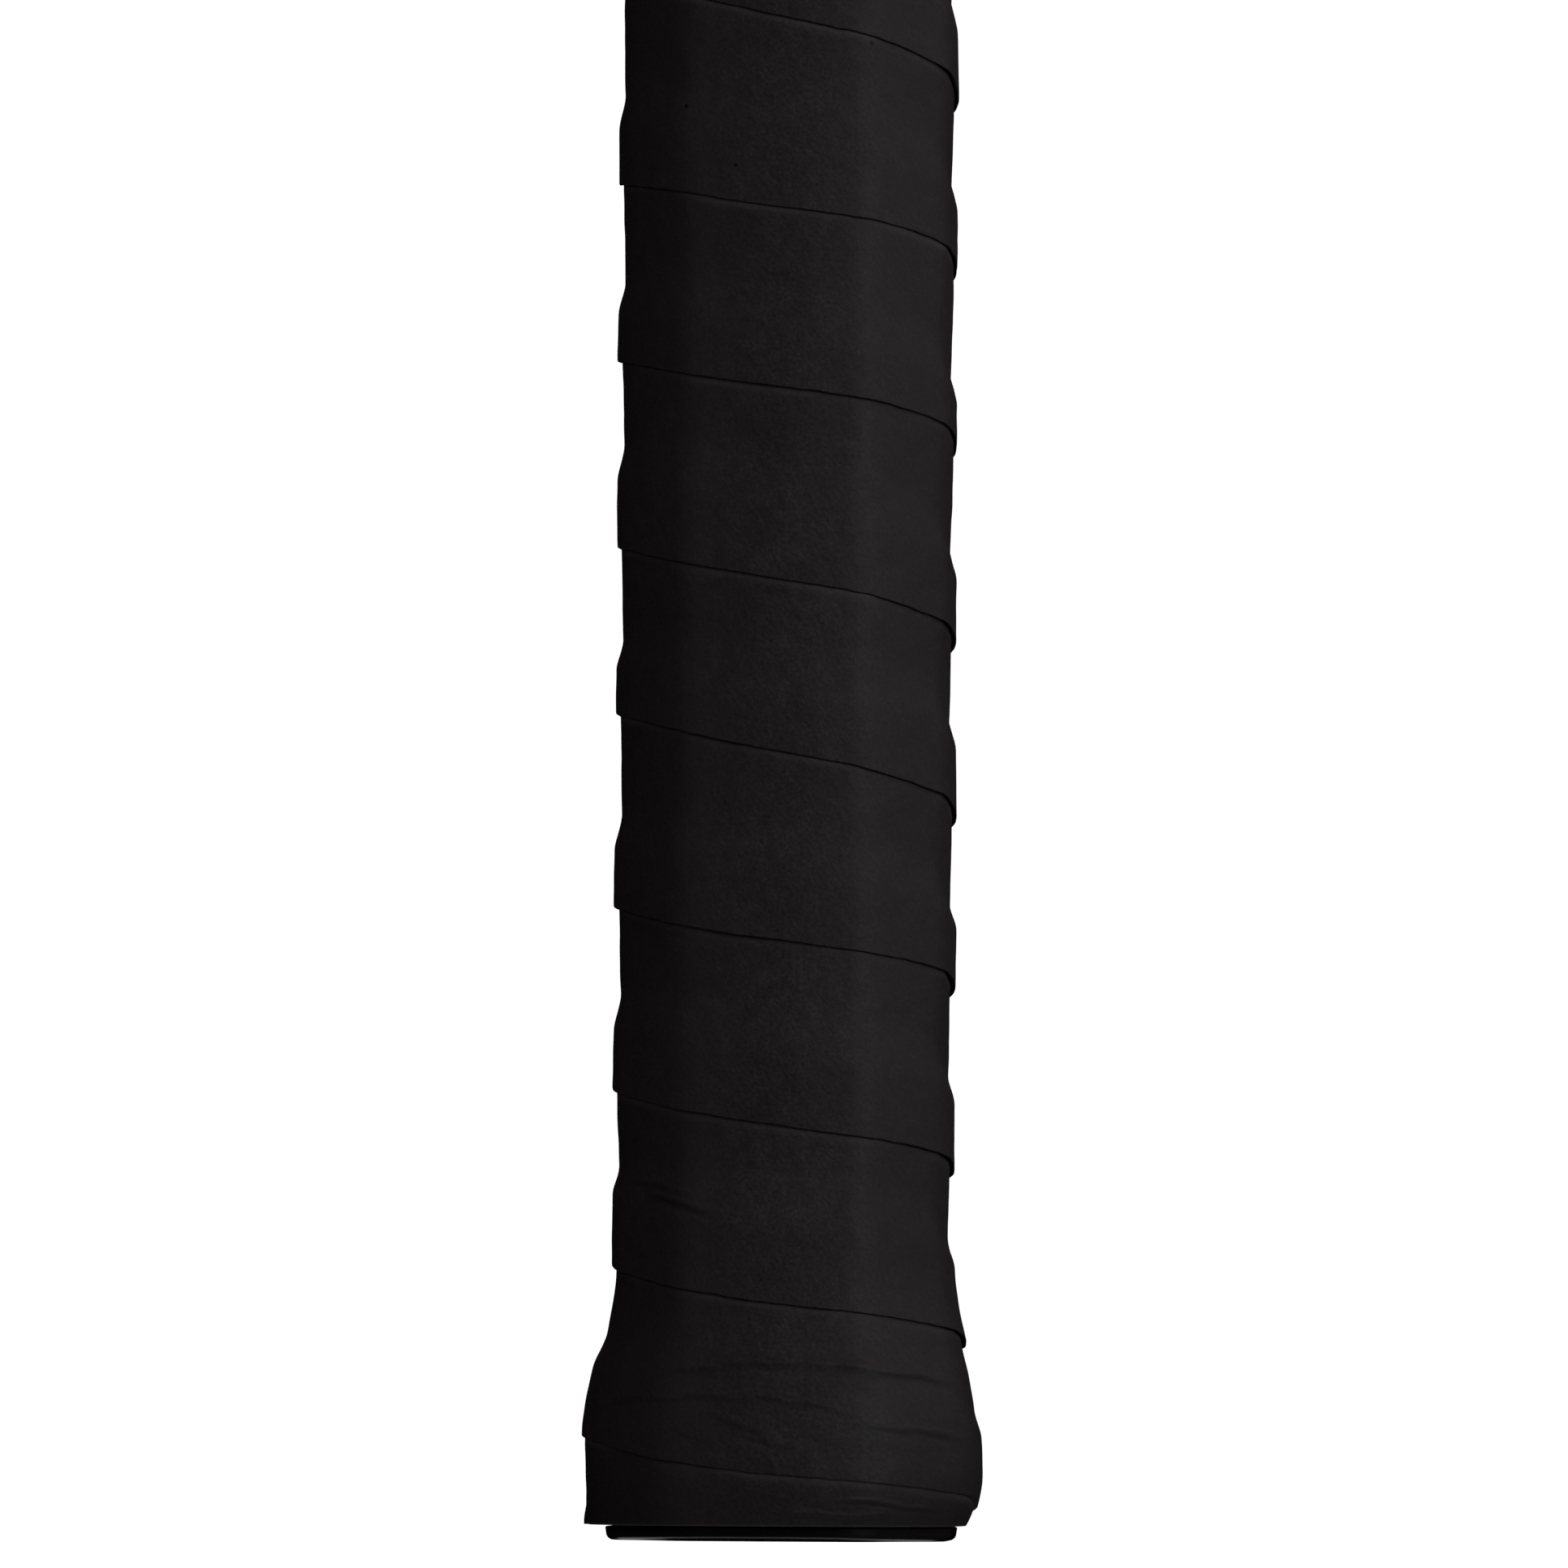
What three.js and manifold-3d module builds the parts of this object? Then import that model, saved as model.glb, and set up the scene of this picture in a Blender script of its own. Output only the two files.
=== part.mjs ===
// Racket handle wound with one overgrip tape, with everything that it holds inside.
// Millimetres. +Z runs up the handle from the centre of the butt's end plane, X is the
// handle's width, and the wide flat at -Y is the front.
import * as THREE from "three";
import { mergeVertices } from "three/addons/utils/BufferGeometryUtils.js";
import Module from "manifold-3d";

const wasm = await Module();
wasm.setup();

// ---------- driving dimensions ----------

// Eight-sided handle outline that every layer is offset from: the pallets' own surface.
const HANDLE = { halfWidth: 14.7, halfDepth: 11.9, cut: 6.4, radius: 2.4 };
const PALLET = { low: 3.3, high: 194, splitGap: 0.1, topChamfer: 1, rebateRoom: 0.2 };

// Hairpin shaft: two tubes side by side with a foam spacer between them.
const TUBE = { inner: 1.5, outer: 11.2, halfDepth: 8.7, outerRadius: 5.5, innerRadius: 1.6 };
const TUBE_WALL = 1.2;
const TUBE_SPAN = { low: 6, high: 240 };
const SHAFT = { halfWidth: TUBE.outer, halfDepth: TUBE.halfDepth, cut: 3, radius: 2.5 };
const PLUG_SPAN = { low: 6.5, high: 18 };
const SPACER_SPAN = { low: 20, high: 192 };
const SPACER_ROOM = 0.3;

// Butt: the flare swells to its fullest a little above the end and eases out above it.
const FLARE = { swell: 3.5, fullest: 10, top: 30, footDrop: 2, foot: 1.6, footPower: 2.4 };
const FLARE_LEVELS = [1.6, 3.2, 5, 8, 11.5, 15, 20, 25, 30];
const CAP = { rebate: 1.5, endWall: 3, lip: 1.5 };
// The cap's rounded lip, as pairs of outward offset and height.
const CAP_LIP = [[2.6, 0], [3.4, 0.45], [3.7, 1], [3.6, CAP.lip]];
const DOOR = { halfLength: 9.7, free: -6.2, hingeY: 5.5, hingeZ: 1.5, low: 0.7, high: 2.1 };
const DOOR_OPENING = { halfLength: 10, halfWidth: 6.5 };
const KNUCKLE_RADIUS = 0.85;
const PIN = { radius: 0.6, halfLength: 10.8, clearance: 0.1, endRoom: 0.3 };
const FINGER_NOTCH_RADIUS = 1.5;
const BADGE = { radius: 4.6, thickness: 0.4, y: -0.8 };
const STAPLE = { halfCrown: 4, wire: 0.5, height: 1.1, z: 22, sink: 0.15, reach: 2.8 };
// Room that the staples and the tack are given where they are cut in, and how far each cut
// stays open outwards past the head.
const STAPLE_CUTTER = { grow: 0.12, rise: 4 };
const TACK_CUTTER = { grow: 0.1, rise: 6 };
const TACK = { z: 4.4, head: 1.3, headThickness: 0.4, shank: 0.4, length: 3.8, outer: 4.05 };

// Base grip: a thick strip wound edge to edge. Overgrip: a thin tape that laps itself.
const GAP = 0.1;
const BASE = { thickness: 1.8, pitch: 25, width: 24.6, start: 1.6, top: 191.5 };
const TAPE = { thickness: 0.6, pitch: 19.1, width: 25.4, start: 1, top: 190 };
const TAPE_OFFSET = GAP + BASE.thickness + GAP + TAPE.thickness;
const STRIP_FLOOR = 1.6;
const BLUNT_END = 1;
const LAP = { shoulder: 0.35, ramp: 1 };
// Turns to look through for both strips: it covers every turn that either of them makes.
const TURNS = { first: -2, last: 13 };

// Where the tape's lower edge passes the right side of the handle, as a part of a turn.
const RIGHT_SIDE = 0.185;
// How far the tape lies above even spacing at each half turn, as a hand laid it.
const HAND_LAID = [3, 1, 1.9, 0, 0.3, -1.1, -0.4, -1.3, 0, -0.9, -0.8, 0.7, -1, -0.5, 1.2, 0.5,
  1.4, 0.8, 0.7, 3.2, 1.5, 0];
// Each turn also sags a little across the front flat.
const FRONT_SAG = { depth: 0.6, turn: 0.53, spread: 0.13 };

const BASE_FINISH = { low: 182, high: 191, inner: 1.97, outer: 2.15 };
const FINISH_RISE = { start: 180.5, end: 181.5, height: 0.3 };
const FINISH = { low: 182, high: 192, inner: 3.72, outer: 3.88 };
const COLLAR = { low: 187, shoulder: 196, neck: 203, top: 208, bore: 4.1, wall: 1.4, grip: 0.4 };
const COLLAR_FORM = { chamfer: 0.4, chamferTop: 1, neckWall: 2.2, neckRise: 0.5, topWall: 1.4 };

// ---------- materials ----------

function material(color, roughness, metalness = 0) {
  return new THREE.MeshStandardMaterial({ color, roughness, metalness });
}

const MATERIALS = {
  tape: () => material("#1b1919", 0.82),
  baseGrip: () => material("#222224", 0.7),
  finishTape: () => material("#151516", 0.45),
  collar: () => material("#161617", 0.75),
  cap: () => material("#0e0e0f", 0.3),
  door: () => material("#141415", 0.45),
  badge: () => material("#8f9296", 0.35, 0.6),
  foam: () => material("#b9ad8c", 0.9),
  plug: () => material("#d8d5cc", 0.95),
  carbon: () => material("#17181a", 0.35),
  steel: () => material("#a9abad", 0.35, 1),
};

// ---------- outline and offsets ----------

// The rounded outline, clockwise seen from above from the middle of the back flat. Each
// station is a rounding centre and an outward direction, so any layer is centre + reach.
function outlineStations(outline, cornerSteps = 2) {
  const { halfWidth: a, halfDepth: b, cut: c, radius: r } = outline;
  const corners = [
    [a - c, b], [a, b - c], [a, c - b], [a - c, -b],
    [c - a, -b], [-a, c - b], [-a, b - c], [c - a, b],
  ];
  const stations = [{ x: 0, y: b - r, nx: 0, ny: 1, r }];
  corners.forEach(([cx, cy], i) => {
    const before = (i * Math.PI) / 4;
    const middle = before + Math.PI / 8;
    const inset = r / Math.cos(Math.PI / 8);
    const x = cx - inset * Math.sin(middle);
    const y = cy - inset * Math.cos(middle);
    for (let step = 0; step <= cornerSteps; step++) {
      const angle = before + (step / cornerSteps) * (Math.PI / 4);
      stations.push({ x, y, nx: Math.sin(angle), ny: Math.cos(angle), r });
    }
    if (i === 3) stations.push({ x: 0, y: r - b, nx: 0, ny: -1, r });
  });
  return stations;
}

function pointAt(station, offset, z) {
  const reach = station.r + offset;
  return new THREE.Vector3(station.x + station.nx * reach, station.y + station.ny * reach, z);
}

const HANDLE_STATIONS = outlineStations(HANDLE);
const SHAFT_STATIONS = outlineStations(SHAFT);

// Each station's place around the handle, as a part of one turn of tape.
const TURN_PARTS = (() => {
  const points = HANDLE_STATIONS.map((station) => pointAt(station, TAPE_OFFSET, 0));
  const lengths = points.map((p, i) => p.distanceTo(points[(i + 1) % points.length]));
  const whole = lengths.reduce((sum, length) => sum + length, 0);
  let travelled = 0;
  return lengths.map((length) => {
    const part = travelled / whole;
    travelled += length;
    return part;
  });
})();

// How far the butt swells beyond the straight handle at a height.
function swellCurve(z) {
  if (z >= FLARE.top) return 0;
  if (z >= FLARE.fullest) {
    const along = (z - FLARE.fullest) / (FLARE.top - FLARE.fullest);
    return (FLARE.swell * (1 + Math.cos(Math.PI * along))) / 2;
  }
  const down = (FLARE.fullest - z) / (FLARE.fullest - FLARE.foot);
  return FLARE.swell - FLARE.footDrop * down ** FLARE.footPower;
}

// The same swell with straight runs between the flare's levels, so that layers nest.
function swell(z) {
  const above = FLARE_LEVELS.findIndex((level) => level > z);
  if (above < 0) return 0;
  if (above === 0) return swellCurve(FLARE_LEVELS[0]);
  const [low, high] = [FLARE_LEVELS[above - 1], FLARE_LEVELS[above]];
  return THREE.MathUtils.mapLinear(z, low, high, swellCurve(low), swellCurve(high));
}

// ---------- mesh builders ----------

function facingOut(geometry) {
  const p = geometry.attributes.position;
  const [a, b, c] = [new THREE.Vector3(), new THREE.Vector3(), new THREE.Vector3()];
  let volume = 0;
  for (let i = 0; i < p.count; i += 3) {
    a.fromBufferAttribute(p, i);
    b.fromBufferAttribute(p, i + 1);
    c.fromBufferAttribute(p, i + 2);
    volume += a.dot(b.cross(c));
  }
  if (volume < 0) {
    for (let i = 0; i < p.count; i += 3) {
      a.fromBufferAttribute(p, i + 1);
      b.fromBufferAttribute(p, i + 2);
      p.setXYZ(i + 1, b.x, b.y, b.z);
      p.setXYZ(i + 2, a.x, a.y, a.z);
    }
  }
  geometry.computeVertexNormals();
  return geometry;
}

function fromTriangles(triangles) {
  const positions = triangles.flat().flatMap((v) => [v.x, v.y, v.z]);
  const geometry = new THREE.BufferGeometry();
  geometry.setAttribute("position", new THREE.Float32BufferAttribute(positions, 3));
  return facingOut(geometry);
}

function bandBetween(lower, upper) {
  const triangles = [];
  lower.forEach((a, i) => {
    const next = (i + 1) % lower.length;
    triangles.push([a, lower[next], upper[next]], [a, upper[next], upper[i]]);
  });
  return triangles;
}

function ring(stations, offset, z) {
  return stations.map((station) => pointAt(station, offset, z));
}

// A shell from rings that run up the outside and back down the inside.
function shell(rings) {
  return fromTriangles(rings.flatMap((r, i) => bandBetween(r, rings[(i + 1) % rings.length])));
}

// A solid from rings stacked upwards, with both ends closed flat.
function stack(rings) {
  const sides = rings.slice(1).flatMap((r, i) => bandBetween(rings[i], r));
  const fan = (r) => r.slice(2).map((v, i) => [r[0], r[i + 1], v]);
  const foot = fan(rings[0]).map(([a, b, c]) => [a, c, b]);
  return fromTriangles([...sides, ...foot, ...fan(rings.at(-1))]);
}

function toManifold(geometry) {
  const bare = new THREE.BufferGeometry();
  const source = geometry.index ? geometry.toNonIndexed() : geometry;
  bare.setAttribute("position", source.attributes.position.clone());
  const merged = mergeVertices(bare, 1e-4);
  return new wasm.Manifold(new wasm.Mesh({
    numProp: 3,
    vertProperties: new Float32Array(merged.attributes.position.array),
    triVerts: new Uint32Array(merged.index.array),
  }));
}

function fromManifold(solid) {
  const mesh = solid.getMesh();
  const indexed = new THREE.BufferGeometry();
  indexed.setAttribute("position", new THREE.Float32BufferAttribute(mesh.vertProperties, 3));
  indexed.setIndex(Array.from(mesh.triVerts));
  const geometry = indexed.toNonIndexed();
  geometry.computeVertexNormals();
  return geometry;
}

function cut(geometry, cutters) {
  const solid = cutters.reduce((left, tool) => left.subtract(toManifold(tool)), toManifold(geometry));
  return fromManifold(solid);
}

function join(pieces) {
  const [first, ...others] = pieces.map(toManifold);
  return fromManifold(others.reduce((whole, piece) => whole.add(piece), first));
}

function boxBetween(low, high) {
  const size = high.map((value, i) => value - low[i]);
  const centre = high.map((value, i) => (value + low[i]) / 2);
  return new THREE.BoxGeometry(...size).translate(...centre);
}

function rodAlongX(radius, halfLength, y, z) {
  const rod = new THREE.CylinderGeometry(radius, radius, halfLength * 2, 16);
  return rod.rotateZ(Math.PI / 2).translate(0, y, z);
}

// ---------- wound strips ----------

// Joins two rows of points that climb the strip side by side.
function zip(left, right) {
  const triangles = [];
  let i = 0;
  let j = 0;
  while (i < left.length - 1 || j < right.length - 1) {
    const leftNext = i < left.length - 1 ? left[i + 1].z : Infinity;
    const rightNext = j < right.length - 1 ? right[j + 1].z : Infinity;
    if (leftNext <= rightNext) {
      triangles.push([left[i], right[j], left[i + 1]]);
      i++;
    } else {
      triangles.push([left[i], right[j], right[j + 1]]);
      j++;
    }
  }
  return triangles;
}

// Keeps levels inside the strip and drops those that crowd a neighbour.
function spacedLevels(low, high, levels) {
  const clear = 0.2;
  const kept = [low];
  const inside = levels.filter((z) => z > low + clear && z < high - clear);
  inside.sort((a, b) => a - b);
  for (const z of inside) if (z - kept.at(-1) > clear) kept.push(z);
  return [...kept, high];
}

// A strip wound round the handle, trimmed level at its floor and its top. Where it lies
// on its own last turn it stands off by one more layer, down to that turn's upper edge.
function woundStrip({ edge, width, top, thickness, bed, bends, laps }) {
  const columns = [];
  for (let turn = TURNS.first; turn <= TURNS.last; turn++) {
    HANDLE_STATIONS.forEach((station, i) => {
      const at = turn + TURN_PARTS[i];
      const low = Math.max(STRIP_FLOOR, edge(at));
      const high = Math.min(top, edge(at) + width);
      if (high - low < BLUNT_END) return;
      const lapTop = laps ? edge(at - 1) + width : -Infinity;
      const shoulder = lapTop + LAP.shoulder;
      const foot = shoulder + LAP.ramp;
      const lapped = lapTop > STRIP_FLOOR;
      const rise = (z) => {
        if (!lapped) return 0;
        const share = THREE.MathUtils.clamp((foot - z) / LAP.ramp, 0, 1);
        return share * (thickness + GAP);
      };
      const steps = lapped ? [shoulder, foot] : [];
      const levels = spacedLevels(low, high, [...bends, ...steps]);
      const inner = levels.map((z) => pointAt(station, bed(z) + GAP + rise(z), z));
      const outer = levels.map((z) => pointAt(station, bed(z) + GAP + rise(z) + thickness, z));
      columns.push({ inner, outer });
    });
  }
  const flip = (triangles) => triangles.map(([a, b, c]) => [a, c, b]);
  const ends = (pick) => (a, b) => [
    [a.inner.at(pick), a.outer.at(pick), b.outer.at(pick)],
    [a.inner.at(pick), b.outer.at(pick), b.inner.at(pick)],
  ];
  const lowerEdge = ends(0);
  const upperEdge = ends(-1);
  const triangles = columns.slice(1).flatMap((b, i) => {
    const a = columns[i];
    return [
      ...zip(a.outer, b.outer), ...flip(zip(a.inner, b.inner)),
      ...flip(lowerEdge(a, b)), ...upperEdge(a, b),
    ];
  });
  const first = columns[0];
  const last = columns.at(-1);
  triangles.push(...zip(first.inner, first.outer), ...flip(zip(last.inner, last.outer)));
  return fromTriangles(triangles);
}

function baseGripEdge(turn) {
  return BASE.start + BASE.pitch * turn;
}

// Height of the tape's lower edge: even spacing plus what the hand added, less the sag.
function tapeEdge(turn) {
  const half = (turn - RIGHT_SIDE + 1) * 2;
  const index = THREE.MathUtils.clamp(Math.floor(half), 0, HAND_LAID.length - 2);
  const along = THREE.MathUtils.smoothstep(half - index, 0, 1);
  const drift = THREE.MathUtils.lerp(HAND_LAID[index], HAND_LAID[index + 1], along);
  const aside = (turn - Math.floor(turn) - FRONT_SAG.turn) / FRONT_SAG.spread;
  const sag = FRONT_SAG.depth * Math.exp(-aside * aside);
  return TAPE.start + TAPE.pitch * (turn - RIGHT_SIDE) + drift - sag;
}

// What the tape is wound on: the base grip, and the tape that finishes it near the top.
function tapeBed(z) {
  const share = (z - FINISH_RISE.start) / (FINISH_RISE.end - FINISH_RISE.start);
  const finish = FINISH_RISE.height * THREE.MathUtils.clamp(share, 0, 1);
  return swell(z) + GAP + BASE.thickness + finish;
}

// ---------- hairpin shaft ----------

function tubeOutline(inset) {
  const left = TUBE.inner + inset;
  const right = TUBE.outer - inset;
  const top = TUBE.halfDepth - inset;
  const big = TUBE.outerRadius - inset;
  const small = Math.max(TUBE.innerRadius - inset, 0.3);
  const quarter = Math.PI / 2;
  const shape = new THREE.Shape();
  shape.absarc(right - big, top - big, big, 0, quarter);
  shape.absarc(left + small, top - small, small, quarter, 2 * quarter);
  shape.absarc(left + small, small - top, small, 2 * quarter, 3 * quarter);
  shape.absarc(right - big, big - top, big, 3 * quarter, 4 * quarter);
  shape.closePath();
  return shape;
}

function risen(shape, low, high) {
  const options = { depth: high - low, bevelEnabled: false, curveSegments: 5 };
  return new THREE.ExtrudeGeometry(shape, options).translate(0, 0, low);
}

function shaftTube() {
  const shape = tubeOutline(0);
  shape.holes.push(tubeOutline(TUBE_WALL));
  return risen(shape, TUBE_SPAN.low, TUBE_SPAN.high);
}

function tubePlug() {
  return risen(tubeOutline(TUBE_WALL + GAP), PLUG_SPAN.low, PLUG_SPAN.high);
}

function hairpinSpacer() {
  const halfWidth = TUBE.inner - GAP;
  const halfDepth = TUBE.halfDepth - SPACER_ROOM;
  return boxBetween(
    [-halfWidth, -halfDepth, SPACER_SPAN.low],
    [halfWidth, halfDepth, SPACER_SPAN.high],
  );
}

// ---------- staples and tack ----------

// One flat staple with its crown along X and its legs towards -Y. A cutter is the same
// shape grown on every side, with its crown open to the outside.
function staple(legs, grow = 0, crownRise = 0) {
  const outer = STAPLE.halfCrown + grow;
  const inner = STAPLE.halfCrown - STAPLE.wire - grow;
  const foot = -legs - grow;
  const under = -STAPLE.wire - grow;
  const shape = new THREE.Shape();
  const corners = [
    [-outer, foot], [-inner, foot], [-inner, under], [inner, under],
    [inner, foot], [outer, foot], [outer, crownRise], [-outer, crownRise],
  ];
  shape.setFromPoints(corners.map(([x, y]) => new THREE.Vector2(x, y)));
  const height = STAPLE.height + 2 * grow;
  return risen(shape, STAPLE.z - height / 2, STAPLE.z + height / 2);
}

const STAPLE_OFFSET = swell(STAPLE.z + STAPLE.height / 2) - STAPLE.sink;
const STAPLE_LEGS = STAPLE_OFFSET + STAPLE.reach;
const STAPLE_SIDES = {
  back: { turn: 0, x: 0, y: HANDLE.halfDepth + STAPLE_OFFSET },
  right: { turn: -Math.PI / 2, x: HANDLE.halfWidth + STAPLE_OFFSET, y: 0 },
  front: { turn: Math.PI, x: 0, y: -HANDLE.halfDepth - STAPLE_OFFSET },
  left: { turn: Math.PI / 2, x: -HANDLE.halfWidth - STAPLE_OFFSET, y: 0 },
};

function placed(geometry, side) {
  return geometry.rotateZ(side.turn).translate(side.x, side.y, 0);
}

const STAPLE_CUTTERS = Object.values(STAPLE_SIDES).map((side) => {
  return placed(staple(STAPLE_LEGS, STAPLE_CUTTER.grow, STAPLE_CUTTER.rise), side);
});

// The tack that starts the base grip, driven in from the right side.
function tack(grow = 0, headRise = 0) {
  const headLength = TACK.headThickness + grow + headRise;
  const head = new THREE.CylinderGeometry(TACK.head + grow, TACK.head + grow, headLength, 16);
  head.translate(0, headLength / 2 - TACK.headThickness - grow, 0);
  const shankLength = TACK.length + grow;
  const shank = new THREE.CylinderGeometry(TACK.shank + grow, TACK.shank + grow, shankLength, 8);
  shank.translate(0, -shankLength / 2 - TACK.headThickness / 2, 0);
  const whole = join([head, shank]);
  return whole.rotateZ(-Math.PI / 2).translate(HANDLE.halfWidth + TACK.outer, 0, TACK.z);
}

function tackCutter() {
  return tack(TACK_CUTTER.grow, TACK_CUTTER.rise);
}

// ---------- pallets, cap and door ----------

function palletHalves() {
  const rebateTop = FLARE.top + PALLET.rebateRoom;
  const sunk = -CAP.rebate - GAP;
  const body = stack([
    ring(HANDLE_STATIONS, sunk, PALLET.low), ring(HANDLE_STATIONS, sunk, rebateTop),
    ring(HANDLE_STATIONS, 0, rebateTop),
    ring(HANDLE_STATIONS, 0, PALLET.high - PALLET.topChamfer),
    ring(HANDLE_STATIONS, -PALLET.topChamfer, PALLET.high),
  ]);
  const channel = tubeOutline(-GAP);
  const rightBore = risen(channel, 0, PALLET.high + 2);
  const leftBore = rightBore.clone().rotateZ(Math.PI);
  const slot = boxBetween(
    [-TUBE.inner - 1, GAP - TUBE.halfDepth, 0],
    [TUBE.inner + 1, TUBE.halfDepth - GAP, PALLET.high + 2],
  );
  const hollow = cut(body, [rightBore, leftBore, slot, ...STAPLE_CUTTERS]);
  const far = 40;
  const behind = boxBetween([-far, -PALLET.splitGap / 2, -1], [far, far, PALLET.high + 5]);
  const before = boxBetween([-far, -far, -1], [far, PALLET.splitGap / 2, PALLET.high + 5]);
  return { front: cut(hollow, [behind]), back: cut(hollow, [before]) };
}

function buttCap() {
  const flareRings = FLARE_LEVELS.slice(1).map((z) => [swell(z), z]);
  const outside = [...CAP_LIP, [swell(CAP.lip), CAP.lip], ...flareRings];
  const body = stack(outside.map(([offset, z]) => ring(HANDLE_STATIONS, offset, z)));
  const inside = [CAP.endWall, FLARE.top + 1];
  const cavity = stack(inside.map((z) => ring(HANDLE_STATIONS, -CAP.rebate, z)));
  const { halfLength, halfWidth } = DOOR_OPENING;
  const opening = boxBetween([-halfLength, -halfWidth, -1], [halfLength, halfWidth, CAP.endWall + 1]);
  const socketRadius = PIN.radius + PIN.clearance;
  const sockets = rodAlongX(socketRadius, PIN.halfLength + PIN.endRoom, DOOR.hingeY, DOOR.hingeZ);
  return cut(body, [cavity, opening, sockets, ...STAPLE_CUTTERS, tackCutter()]);
}

function trapDoor() {
  const { halfLength, free, hingeY, hingeZ, low, high } = DOOR;
  const plate = boxBetween([-halfLength, free, low], [halfLength, hingeY, high]);
  const knuckle = rodAlongX(KNUCKLE_RADIUS, halfLength, hingeY, hingeZ);
  const pins = rodAlongX(PIN.radius, PIN.halfLength, hingeY, hingeZ);
  const fingerNotch = new THREE.CylinderGeometry(FINGER_NOTCH_RADIUS, FINGER_NOTCH_RADIUS, 6, 20);
  fingerNotch.rotateX(Math.PI / 2).translate(0, free, 0);
  return cut(join([plate, knuckle, pins]), [fingerNotch]);
}

function doorBadge() {
  const disc = new THREE.CylinderGeometry(BADGE.radius, BADGE.radius, BADGE.thickness, 32);
  return disc.rotateX(Math.PI / 2).translate(0, BADGE.y, DOOR.low - GAP / 2 - BADGE.thickness / 2);
}

// ---------- grips ----------

function baseGrip() {
  const strip = woundStrip({
    edge: baseGripEdge,
    width: BASE.width,
    top: BASE.top,
    thickness: BASE.thickness,
    bed: swell,
    bends: FLARE_LEVELS,
    laps: false,
  });
  return cut(strip, [tackCutter()]);
}

function overgripTape() {
  return woundStrip({
    edge: tapeEdge,
    width: TAPE.width,
    top: TAPE.top,
    thickness: TAPE.thickness,
    bed: tapeBed,
    bends: [...FLARE_LEVELS, FINISH_RISE.start, FINISH_RISE.end],
    laps: true,
  });
}

function band({ low, high, inner, outer }) {
  const corners = [[inner, low], [outer, low], [outer, high], [inner, high]];
  return shell(corners.map(([offset, z]) => ring(HANDLE_STATIONS, offset, z)));
}

// Rubber collar: a skirt over the top of the tape that draws in to hug the shaft.
function gripCollar() {
  const { low, shoulder, neck, top, bore, wall, grip } = COLLAR;
  const { chamfer, chamferTop, neckWall, neckRise, topWall } = COLLAR_FORM;
  return shell([
    ring(HANDLE_STATIONS, bore, low),
    ring(HANDLE_STATIONS, bore + wall - chamfer, low),
    ring(HANDLE_STATIONS, bore + wall, low + chamferTop),
    ring(HANDLE_STATIONS, bore + wall, shoulder),
    ring(SHAFT_STATIONS, grip + neckWall, neck + neckRise),
    ring(SHAFT_STATIONS, grip + topWall, top),
    ring(SHAFT_STATIONS, grip, top),
    ring(SHAFT_STATIONS, grip, neck),
    ring(HANDLE_STATIONS, bore, shoulder),
  ]);
}

// ---------- assembly ----------

const handle = new THREE.Group();
handle.name = "taped_racket_handle";

function add(name, geometry, makeMaterial) {
  const mesh = new THREE.Mesh(geometry, makeMaterial());
  mesh.name = name;
  handle.add(mesh);
  return mesh;
}

add("shaft_tube_right", shaftTube(), MATERIALS.carbon);
add("shaft_tube_left", shaftTube(), MATERIALS.carbon).rotation.z = Math.PI;
add("tube_plug_right", tubePlug(), MATERIALS.plug);
add("tube_plug_left", tubePlug(), MATERIALS.plug).rotation.z = Math.PI;
add("hairpin_spacer", hairpinSpacer(), MATERIALS.foam);
const pallets = palletHalves();
add("pallet_front", pallets.front, MATERIALS.foam);
add("pallet_back", pallets.back, MATERIALS.foam);
add("butt_cap", buttCap(), MATERIALS.cap);
for (const [name, side] of Object.entries(STAPLE_SIDES)) {
  const mesh = add(`cap_staple_${name}`, staple(STAPLE_LEGS), MATERIALS.steel);
  mesh.rotation.z = side.turn;
  mesh.position.set(side.x, side.y, 0);
}
add("trap_door", trapDoor(), MATERIALS.door);
add("door_badge", doorBadge(), MATERIALS.badge);
add("base_grip", baseGrip(), MATERIALS.baseGrip);
add("base_grip_tack", tack(), MATERIALS.steel);
add("base_grip_finish_tape", band(BASE_FINISH), MATERIALS.finishTape);
add("overgrip_tape", overgripTape(), MATERIALS.tape);
add("overgrip_finish_tape", band(FINISH), MATERIALS.finishTape);
add("grip_collar", gripCollar(), MATERIALS.collar);

export default handle;
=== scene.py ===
import math

import bpy
import numpy as np
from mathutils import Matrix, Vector


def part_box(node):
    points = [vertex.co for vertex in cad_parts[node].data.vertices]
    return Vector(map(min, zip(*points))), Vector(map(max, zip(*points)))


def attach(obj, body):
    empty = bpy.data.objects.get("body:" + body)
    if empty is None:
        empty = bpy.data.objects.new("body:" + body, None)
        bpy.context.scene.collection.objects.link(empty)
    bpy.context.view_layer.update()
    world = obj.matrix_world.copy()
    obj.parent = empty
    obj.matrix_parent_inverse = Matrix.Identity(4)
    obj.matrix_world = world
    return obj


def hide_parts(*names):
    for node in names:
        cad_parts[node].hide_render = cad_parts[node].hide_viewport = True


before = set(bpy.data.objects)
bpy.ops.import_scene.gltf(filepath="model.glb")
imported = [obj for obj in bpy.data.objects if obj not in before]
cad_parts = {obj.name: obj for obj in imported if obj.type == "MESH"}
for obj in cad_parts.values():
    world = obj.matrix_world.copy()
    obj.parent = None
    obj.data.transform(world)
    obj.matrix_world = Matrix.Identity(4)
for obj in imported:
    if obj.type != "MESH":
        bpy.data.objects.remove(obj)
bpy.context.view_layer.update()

MM = 0.001


def box_mm(node):
    low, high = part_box(node)
    return np.array(low) / MM, np.array(high) / MM


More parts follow.
